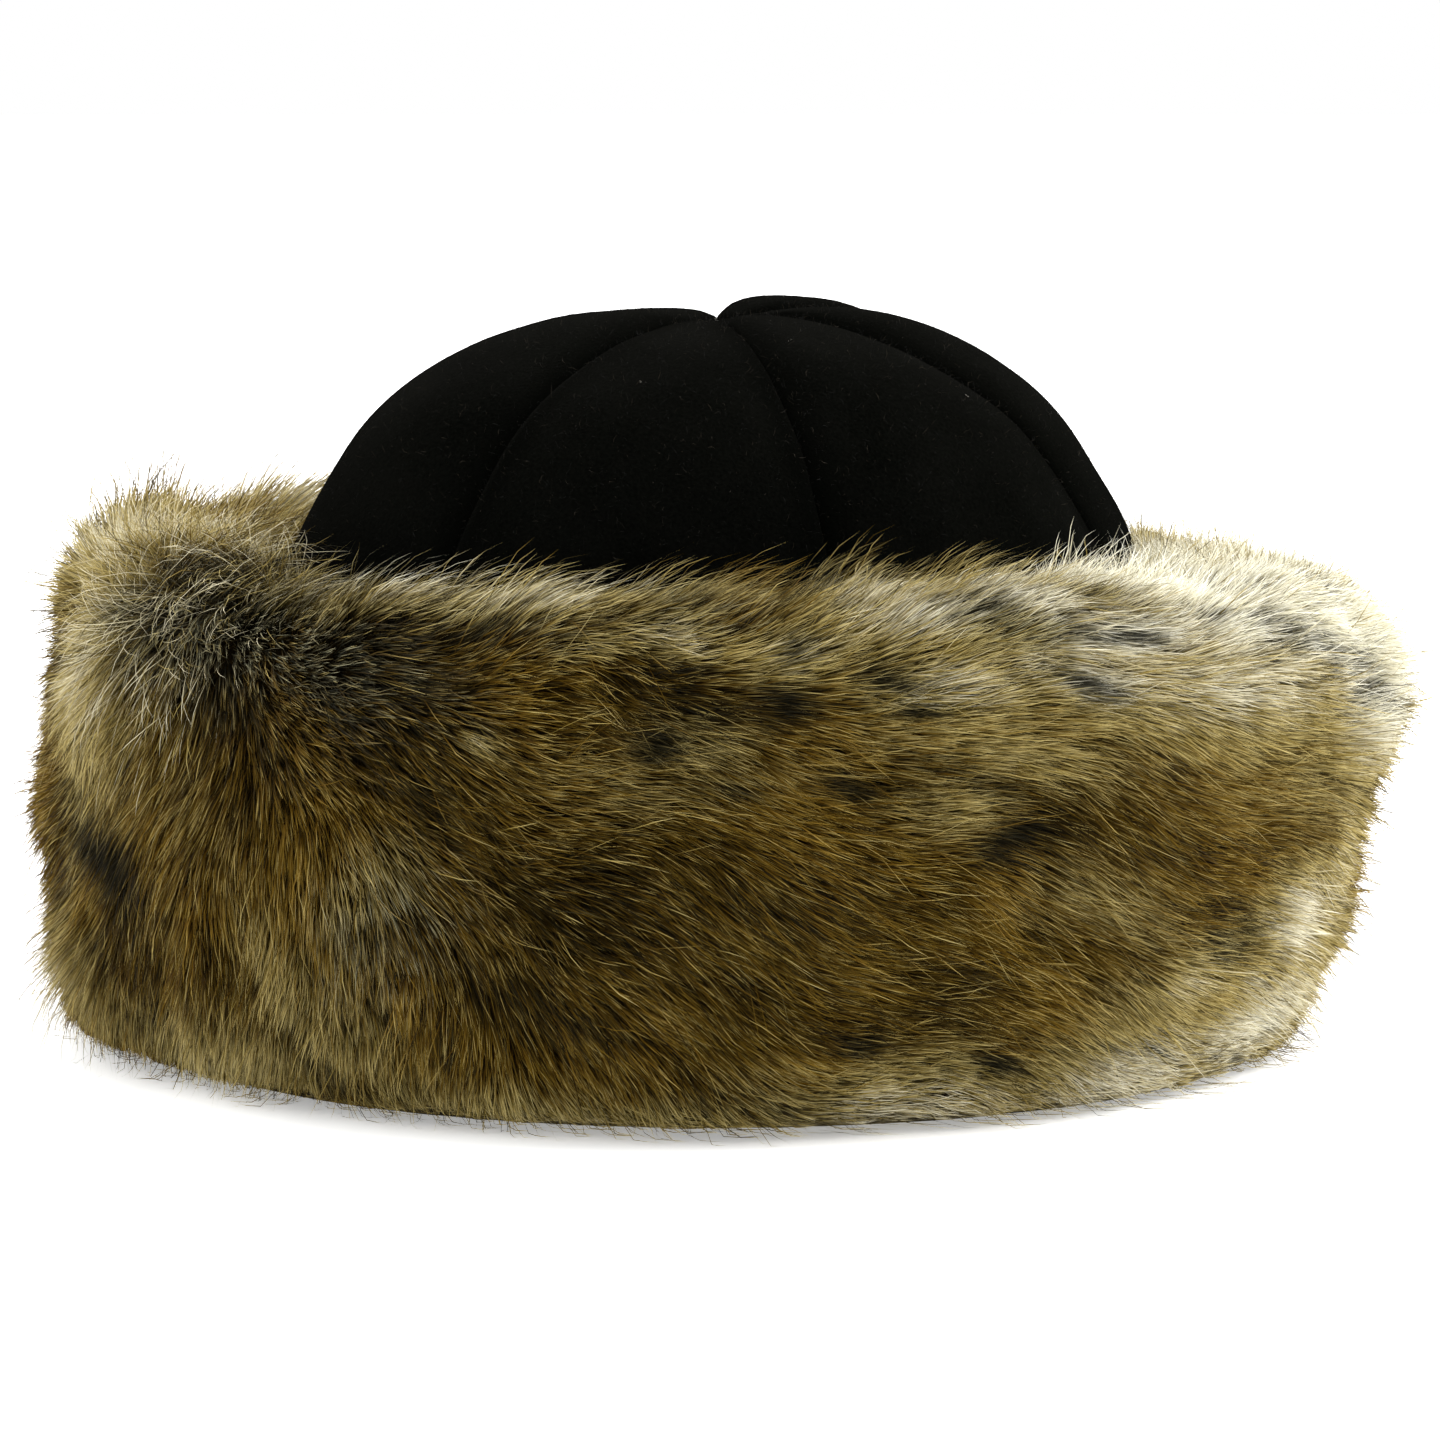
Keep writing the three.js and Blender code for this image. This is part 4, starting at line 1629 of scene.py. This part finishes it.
    def lengths(
        self, kind: HairKind, roots: np.ndarray, lock: np.ndarray, swells: np.ndarray,
        rng: np.random.Generator,
    ) -> tuple[np.ndarray, np.ndarray]:
        """How long each hair is and how far its tip stands up.

        Args:
            kind: Their kind.
            roots: Where they grow.
            lock: The number of each one's lock.
            swells: How far the swells and clumps make it stand up.
            rng: The random numbers.

        Returns:
            The lengths and the lifts.
        """
        growth, locks = self.growth, self.locks
        untidy = self.near_whorl(roots)
        fullness = np.maximum(self.fullness(roots), kind.spring)
        length = growth.length + growth.own_length * rng.random(kind.count)
        length = kind.length * (length + growth.lock_length * (locks.length[lock] - 0.5))
        length *= (
            growth.flat_length + growth.full_length * fullness + growth.tuft_length * self.tuft(roots)
            + growth.whorl_length * untidy
        )
        above_foot = smoothstep(roots[:, 2], *growth.foot_heights)
        length *= growth.foot_length + (1.0 - growth.foot_length) * above_foot
        lift = growth.lift + growth.swell_lift * swells + growth.lock_lift * locks.lift[lock]
        lift = kind.lift * (lift + growth.own_lift * (rng.random(kind.count) - 0.5))
        return length, lift * (1.0 + growth.whorl_lift * untidy) * fullness

    def turns(self, kind: HairKind, roots: np.ndarray, rng: np.random.Generator) -> np.ndarray:
        """How far each hair lies off the nap.

        Args:
            kind: Their kind.
            roots: Where they grow.
            rng: The random numbers.

        Returns:
            The turns, in degrees.
        """
        growth = self.growth
        spread = kind.swirl * growth.own_turn + self.whorl_spread * self.near_whorl(roots) ** 2
        own = np.clip(rng.standard_normal(kind.count), -growth.most_turn, growth.most_turn)
        return kind.swirl * self.uneven.turn(roots, len(self.uneven.turns)) + spread * own

    def gathered(self, kind: HairKind, paths: np.ndarray, lock: np.ndarray) -> np.ndarray:
        """Draws hairs to the middles of their locks.

        Args:
            kind: Their kind.
            paths: The places along each hair, by hair and station.
            lock: The number of each one's lock.

        Returns:
            The moved places.
        """
        growth, locks = self.growth, self.locks
        turn = kind.swirl * (self.uneven.turn(locks.middles, 1) + growth.lock_turn * (locks.turn - 0.5))
        swells = self.uneven.swells[0].at(locks.middles)
        lift = kind.lift * (growth.lift + growth.swell_lift * swells + growth.lock_lift * locks.lift)
        lift *= np.maximum(self.fullness(locks.middles), kind.spring)
        length = np.full(self.lock_count, kind.length)
        guides = self.walk(locks.middles, locks.normals, kind, length, lift, turn)
        stations = np.array(kind.stations)[None, :, None]
        return paths + (guides[lock] - paths) * kind.pull * stations**growth.gather

    def tones(
        self, kind: HairKind, paths: np.ndarray, swells: np.ndarray, rng: np.random.Generator
    ) -> np.ndarray:
        """The tones of the hairs.

        Args:
            kind: Their kind.
            paths: The places along each hair, by hair and station.
            swells: How far the swells and clumps make each one stand up.
            rng: The random numbers.

        Returns:
            The three tones, by hair and station.
        """
        toning = self.toning
        tones = self.markings(paths.reshape(-1, 3)).reshape(*paths.shape[:2], 3)
        pale, dark, grey = (tones[:, :, tone.value] for tone in (Tone.PALE, Tone.DARK, Tone.GREY))
        # Painted shade: the dark tone is raised where the swells sink, as shade in the hollows between masses
        # of hair.
        dark[:] = np.maximum(dark, toning.hollow_shade * smoothstep(swells, *toning.hollows)[:, None])
        chance = rng.uniform(-1.0, 1.0, (kind.count, 1, 3)) * toning.chances
        tones[:] = np.clip(tones + chance * (tones > toning.unmarked), 0.0, 1.0)
        dark[:] = smoothstep(dark, *toning.contrast)
        grey[:] = smoothstep(grey, *toning.contrast)
        always = rng.random(kind.count) < kind.pale_share
        pale[always] = kind.paleness
        dark[always] = smoothstep(dark[always], *toning.strong_dark)
        grey[always] = 0.0
        return tones

    def lightness(self, roots: np.ndarray, ahead: np.ndarray, lock: np.ndarray) -> np.ndarray:
        """How light each hair is by its strand and lock.

        Args:
            roots: Where the hairs grow.
            ahead: The way the nap lies there.
            lock: The number of each one's lock.

        Returns:
            The lightness, from 0 to 1.
        """
        strands = self.toning.strand_lightness * self.uneven.strand(roots, ahead)
        own = self.toning.lock_lightness * (self.locks.lightness[lock] - 0.5)
        return np.clip(self.toning.lock + strands + own, 0.0, 1.0)

    def fullness(self, points: np.ndarray) -> np.ndarray:
        """How far the hair stands up compared with its usual lift."""
        heights, shares = zip(*self.fullness_steps)
        patches = sum(marking.at(points, self.nap.girth) for marking in FULL_PATCHES)
        full = np.interp(points[:, 2], np.array(heights) * MM, shares)
        return full * (1.0 + self.tuft_lift * self.tuft(points) + patches)

    def tuft(self, points: np.ndarray) -> np.ndarray:
        """How near each point is to a tuft on the ridge, from 0 to 1."""
        azimuth = azimuth_of(points)
        near = max_of(*(np.exp(-(((azimuth - middle) / reach) ** 2)) for middle, reach in self.tufts))
        return near * smoothstep(points[:, 2], *self.tuft_heights)

    def near_whorl(self, points: np.ndarray) -> np.ndarray:
        """How near each point is to the whorl, from 0 to 1."""
        return 1.0 - smoothstep(self.nap.away(points), 0.0, self.whorl_reach)

    def way_up(self, points: np.ndarray) -> np.ndarray:
        """How far up the cuff's section each point is, over the ridge and down to the crown, as an angle."""
        radius, height = self.section_middle
        return np.arctan2(points[:, 2] - height, radius_of(points) - radius)

    def keep_clear(self, paths: np.ndarray, clearance: float) -> np.ndarray:
        """Keeps hairs above the floor and outside the crown.

        Args:
            paths: The places along each hair, by hair and station, which are moved.
            clearance: Least height above the floor.

        Returns:
            The same places.
        """
        fringe = self.uneven.fringe(paths[:, 0])[:, None] ** self.fringe_curve
        low = clearance + self.fringe_height * fringe
        short = np.maximum(low - paths[:, :, 2], 0.0)
        spread = self.foot_spread * (short / np.maximum(radius_of(paths), self.foot_radius))
        paths[:, :, :2] *= 1.0 + spread[:, :, None]
        paths[:, :, 2] = np.maximum(paths[:, :, 2], low)
        radius, height = self.crown_side
        for hair, station in np.argwhere((radius_of(paths) < radius) & (paths[:, :, 2] > height)):
            point = Vector(paths[hair, station])
            place, normal, _, distance = self.crown.find_nearest(point, self.crown_search)
            if place is None:
                continue
            if (point - place).dot(normal) < 0.0 or distance < self.crown_gap:
                paths[hair, station] = place + normal * self.crown_gap * (1.0 + self.crown_step * station)
        return paths


def hair_piece(
    name: str, paths: np.ndarray, normals: np.ndarray, sizes: np.ndarray, twist: np.ndarray
) -> bpy.types.Object:
    """Makes one mesh of many hairs, each a narrow strip that comes to a point.

    Args:
        name: The piece's name.
        paths: Places along each hair, by hair and station.
        normals: The way each hair faces.
        sizes: The width of each hair.
        twist: How far each is turned about itself, in radians.

    Returns:
        The piece.
    """
    count, stations = paths.shape[:2]
    ahead = unit(np.gradient(paths, axis=1))
    side = unit(np.cross(ahead, normals[:, None, :]))
    facing = np.cross(side, ahead)
    side = side * np.cos(twist)[:, None, None] + facing * np.sin(twist)[:, None, None]
    taper = np.interp(np.linspace(0.0, 1.0, stations)[1:-1], (0.0, 0.5, 1.0), HAIR_TAPER)
    half = side[:, 1:-1] * (sizes[:, None] * taper[None, :] / 2)[:, :, None]
    pairs = np.stack([paths[:, 1:-1] - half, paths[:, 1:-1] + half], axis=2).reshape(count, -1, 3)
    points = np.concatenate([paths[:, :1], pairs, paths[:, -1:]], axis=1)
    points[:, :, 2] = np.maximum(points[:, :, 2], FLOOR_GAP)
    each = points.shape[1]
    faces = [(0, 1, 2)]
    faces += [(2 * k - 1, 2 * k + 1, 2 * k + 2, 2 * k) for k in range(1, stations - 2)]
    faces += [(each - 3, each - 1, each - 2)]
    pattern = [corner for face in faces for corner in face]
    corners = (np.arange(count)[:, None] * each + np.array(pattern)).ravel()
    totals = np.tile([len(face) for face in faces], count)
    mesh = bpy.data.meshes.new(name)
    mesh.vertices.add(count * each)
    mesh.vertices.foreach_set("co", points.astype(np.float32).ravel())
    mesh.loops.add(len(corners))
    mesh.loops.foreach_set("vertex_index", corners.astype(np.int32))
    mesh.polygons.add(len(totals))
    mesh.polygons.foreach_set("loop_start", np.concatenate([[0], np.cumsum(totals)[:-1]]).astype(np.int32))
    mesh.polygons.foreach_set("use_smooth", np.ones(len(totals), bool))
    mesh.update(calc_edges=True)
    bake_cells(mesh, count, stations, pattern)
    piece = bpy.data.objects.new(name, mesh)
    bpy.context.scene.collection.objects.link(piece)
    return piece


def bake_cells(mesh: bpy.types.Mesh, count: int, stations: int, pattern: list[int]) -> None:
    """Gives each hair of a mesh an upright cell of its own in the map that a baked picture uses.

    Args:
        mesh: The mesh.
        count: How many hairs it has.
        stations: How many places along a hair have vertices.
        pattern: The numbers of a hair's vertices, in the order of its faces' corners.
    """
    columns = math.ceil(math.sqrt(count * CELL_SHAPE))
    rows = math.ceil(count / columns)
    cell = np.arange(count)
    across = [0.5, *([0.0, 1.0] * (stations - 2)), 0.5]
    upward = np.repeat(np.linspace(0.0, 1.0, stations), 2)[1:-1]
    place = CELL_MARGIN + (1 - 2 * CELL_MARGIN) * np.stack([across, upward], axis=1)[pattern]
    u = (cell % columns)[:, None] + place[None, :, 0]
    v = (cell // columns)[:, None] + place[None, :, 1]
    layer = mesh.uv_layers.new(name="OFBake")
    layer.data.foreach_set("uv", np.stack([u / columns, v / rows], axis=2).astype(np.float32).ravel())


def set_attribute(piece: bpy.types.Object, name: str, values: np.ndarray) -> None:
    """Stores a number, or three, on each of a piece's vertices.

    Args:
        piece: The piece.
        name: The attribute's name.
        values: The numbers, or the rows of three.
    """
    values = np.asarray(values, np.float32)
    kind, key = ("FLOAT", "value") if values.ndim == 1 else ("FLOAT_VECTOR", "vector")
    piece.data.attributes.new(name, kind, "POINT").data.foreach_set(key, values.ravel())


def hair_attributes(
    piece: bpy.types.Object, stations: tuple[float, ...], roots: np.ndarray, tones: np.ndarray,
    values: dict[str, np.ndarray],
) -> None:
    """Stores what the material reads of each hair on its vertices.

    Args:
        piece: The piece.
        stations: Shares of the hair's length where it has its vertices.
        roots: Where each hair grows.
        tones: The three tones of the marking, by hair and station.
        values: Any single numbers of each hair, by name.
    """
    along = np.repeat(stations, 2)[1:-1]
    set_attribute(piece, "along", np.tile(along, len(roots)))
    for name, value in values.items():
        set_attribute(piece, name, np.repeat(value, len(along)))
    set_attribute(piece, "root_place", np.repeat(roots, len(along), axis=0))
    set_attribute(piece, "marking", np.repeat(tones, 2, axis=1)[:, 1:-1])


@dataclass(frozen=True)
class Fuzz:
    """The loose fibres that stand off the felt.

    Attributes:
        count: How many there are.
        length: Their usual length.
        lengths: The shortest and the longest, as shares of that.
        width: Their usual width.
        widths: The narrowest and the widest, as shares of that.
        start: Height on the crown from which they are made.
        middle: Height of the crown's middle, from which its outside is told.
        outward: How much a place must face away from the middle to be outside, from -1 to 1.
        stand: How far a fibre stands up, compared with its leaning.
        lean: How far it leans.
        curl: How far its end turns off its start.
        root_depth: How deep its root is in the felt.
    """

    count: int = 14_000
    length: float = 1.7 * MM
    lengths: Pair = (0.4, 1.6)
    width: float = 0.07 * MM
    widths: Pair = (0.7, 1.4)
    start: float = 88 * MM
    middle: float = 60 * MM
    outward: float = 0.1
    stand: float = 0.8
    lean: float = 0.75
    curl: float = 0.6
    root_depth: float = 0.1 * MM

    def build(self, gores: list[bpy.types.Object]) -> None:
        """Makes the fibres.

        Args:
            gores: The gores that carry them.
        """
        rng = np.random.default_rng(31)
        each = self.count // len(gores)
        paths, normals = [], []
        for gore in gores:
            surface = Surface(gore)
            out = unit(surface.points - [*CROWN_AXIS, self.middle])
            outside = (surface.normals * out).sum(axis=1) > self.outward
            high = surface.points[:, 2] > self.start
            roots, facing = surface.scatter(each, (outside & high) + ALMOST_NONE, rng)
            lean = unit(facing * self.stand + rng.standard_normal((each, 3)) * self.lean)
            curl = unit(lean + rng.standard_normal((each, 3)) * self.curl)
            half = self.length * rng.uniform(*self.lengths, (each, 1)) / 2
            middle = roots + lean * half
            paths.append(np.stack([roots - facing * self.root_depth, middle, middle + curl * half], axis=1))
            normals.append(unit(rng.standard_normal((each, 3))))
        paths, normals = np.concatenate(paths), np.concatenate(normals)
        sizes = self.width * rng.uniform(*self.widths, len(paths))
        piece = hair_piece("felt_fuzz", paths, normals, sizes, np.zeros(len(paths)))
        values = {"strand": rng.random(len(paths))}
        hair_attributes(piece, (0.0, 0.5, 1.0), paths[:, 0], np.zeros((len(paths), 3, 3)), values)
        finish_piece(piece, Slot.FELT, FuzzFinish().material())


@dataclass(frozen=True)
class Lint:
    """The specks of lint that are caught on the felt.

    Attributes:
        places: Azimuth and distance from the axis of each speck, the last the thread at the apex.
        fibres: How many fibres a speck has.
        length: Their usual length.
        width: Their width.
        scatter: How far apart they start.
        bend: Length of a fibre's bends, as a share of its own.
        flatness: How much of a bend off the felt is taken back.
        lift: How far the specks stand off the felt.
        above: Height from which the felt is looked for.
    """

    places: tuple[Pair, ...] = (
        (281, 62 * MM), (211, 60 * MM), (247, 42 * MM), (30, 50 * MM), (96, 66 * MM), (150, 38 * MM),
        (225, 4 * MM),
    )
    fibres: int = 5
    length: float = 0.75 * MM
    width: float = 0.1 * MM
    scatter: float = 0.25 * MM
    bend: float = 0.3
    flatness: float = 0.8
    lift: float = 0.15 * MM
    above: float = 300 * MM

    def build(self, surface: BVHTree) -> None:
        """Makes the specks.

        Args:
            surface: The crown's surface.
        """
        rng = np.random.default_rng(37)
        paths = []
        for azimuth, reach in self.places:
            x, y, _ = towards(azimuth, 0.0) * reach
            above = Vector((CROWN_AXIS[0] + x, CROWN_AXIS[1] + y, self.above))
            place, normal, _, _ = surface.ray_cast(above, Vector((0.0, 0.0, -1.0)))
            place = np.array(place + normal * self.lift)
            for _ in range(self.fibres):
                bends = rng.standard_normal((3, 3)) * self.length * self.bend
                bends -= np.outer(bends @ np.array(normal) * self.flatness, normal)
                paths.append(place + rng.standard_normal(3) * self.scatter + np.cumsum(bends, axis=0))
        paths = np.array(paths)
        normals = unit(rng.standard_normal((len(paths), 3)))
        piece = hair_piece("lint", paths, normals, np.full(len(paths), self.width), np.zeros(len(paths)))
        finish_piece(piece, Slot.FELT, LintFinish().material())


@dataclass
class FeltCrown:
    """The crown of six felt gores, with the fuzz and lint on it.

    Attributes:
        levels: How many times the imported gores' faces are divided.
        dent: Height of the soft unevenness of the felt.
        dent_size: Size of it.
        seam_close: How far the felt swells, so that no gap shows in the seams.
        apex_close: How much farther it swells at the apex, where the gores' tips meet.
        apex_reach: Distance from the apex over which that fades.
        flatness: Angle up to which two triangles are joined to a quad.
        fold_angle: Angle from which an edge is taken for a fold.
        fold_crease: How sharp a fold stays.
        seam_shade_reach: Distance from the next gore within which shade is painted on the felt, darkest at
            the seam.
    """

    levels: int = 2
    dent: float = 0.9 * MM
    dent_size: float = 24 * MM
    seam_close: float = 0.5 * MM
    apex_close: float = 0.9 * MM
    apex_reach: float = 9 * MM
    flatness: float = math.radians(60)
    fold_angle: float = math.radians(38)
    fold_crease: float = 0.8
    seam_shade_reach: float = 9 * MM

    def build(self) -> BVHTree:
        """Makes the gores and their fuzz.

        Returns:
            The crown's surface, for keeping hairs clear of it.
        """
        felt = FeltFinish().material()
        gores = [self.gore(name) for name in GORE_NAMES]
        self.mark_seams(gores)
        for node, piece in zip(GORE_NAMES, gores):
            finish_piece(piece, Slot.FELT, felt, node)
        Fuzz().build(gores)
        surface = self.surface(gores)
        Lint().build(surface)
        return surface

    def gore(self, node: str) -> bpy.types.Object:
        """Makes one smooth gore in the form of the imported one."""
        piece = copy_of_node(node, f"{node}_felt")
        bpy.ops.object.mode_set(mode="EDIT")
        bpy.ops.mesh.select_all(action="SELECT")
        bpy.ops.mesh.tris_convert_to_quads(face_threshold=self.flatness, shape_threshold=self.flatness)
        bpy.ops.object.mode_set(mode="OBJECT")
        self.keep_folds(piece)
        apply_modifier(piece, "SUBSURF", levels=self.levels, render_levels=self.levels)
        clouds = bpy.data.textures.new(f"{node}_dents", "CLOUDS")
        clouds.noise_scale = self.dent_size
        clouds.noise_depth = 1
        dents = {"texture": clouds, "texture_coords": "LOCAL", "mid_level": 0.5}
        apply_modifier(piece, "DISPLACE", strength=self.dent, **dents)
        apply_modifier(piece, "DISPLACE", strength=self.seam_close, mid_level=0.0)
        near_apex = 1.0 - smoothstep(radius_of(vertex_places(piece)), 0.0, self.apex_reach)
        swell(piece, self.apex_close, near_apex)
        bpy.ops.object.shade_smooth()
        return piece

    def keep_folds(self, piece: bpy.types.Object) -> None:
        """Creases the edges where the felt is folded in at the seams, so that they stay in place."""
        shape = bmesh.new()
        shape.from_mesh(piece.data)
        crease = shape.edges.layers.float.new("crease_edge")
        for edge in shape.edges:
            if edge.is_manifold and edge.calc_face_angle() > self.fold_angle:
                edge[crease] = self.fold_crease
        shape.to_mesh(piece.data)
        shape.free()

    def mark_seams(self, gores: list[bpy.types.Object]) -> None:
        """Stores on each gore how near the next gore is, from 0 to 1 in the seam, for the shade painted
        there.
        """
        surfaces = [Surface(gore) for gore in gores]
        for own in surfaces:
            others = [other for other in surfaces if other is not own]
            near = [other.points[other.nearest(own.points)] for other in others]
            away = np.min([np.linalg.norm(own.points - points, axis=1) for points in near], axis=0)
            set_attribute(own.piece, "seam", 1.0 - smoothstep(away, 0.0, self.seam_shade_reach))

    @staticmethod
    def surface(gores: list[bpy.types.Object]) -> BVHTree:
        """Makes a search tree of the gores' faces."""
        joined = bmesh.new()
        for gore in gores:
            joined.from_mesh(gore.data)
        tree = BVHTree.FromBMesh(joined)
        joined.free()
        return tree


def main() -> None:
    """Builds the studio, the crown and the cuff."""
    logging.basicConfig(level=logging.INFO, format="%(message)s")
    clear_selection()
    studio = Studio()
    studio.camera()
    studio.floor()
    studio.lights()
    crown = FeltCrown().build()
    FurCuff().build(crown)


if __name__ == "__main__":
    main()
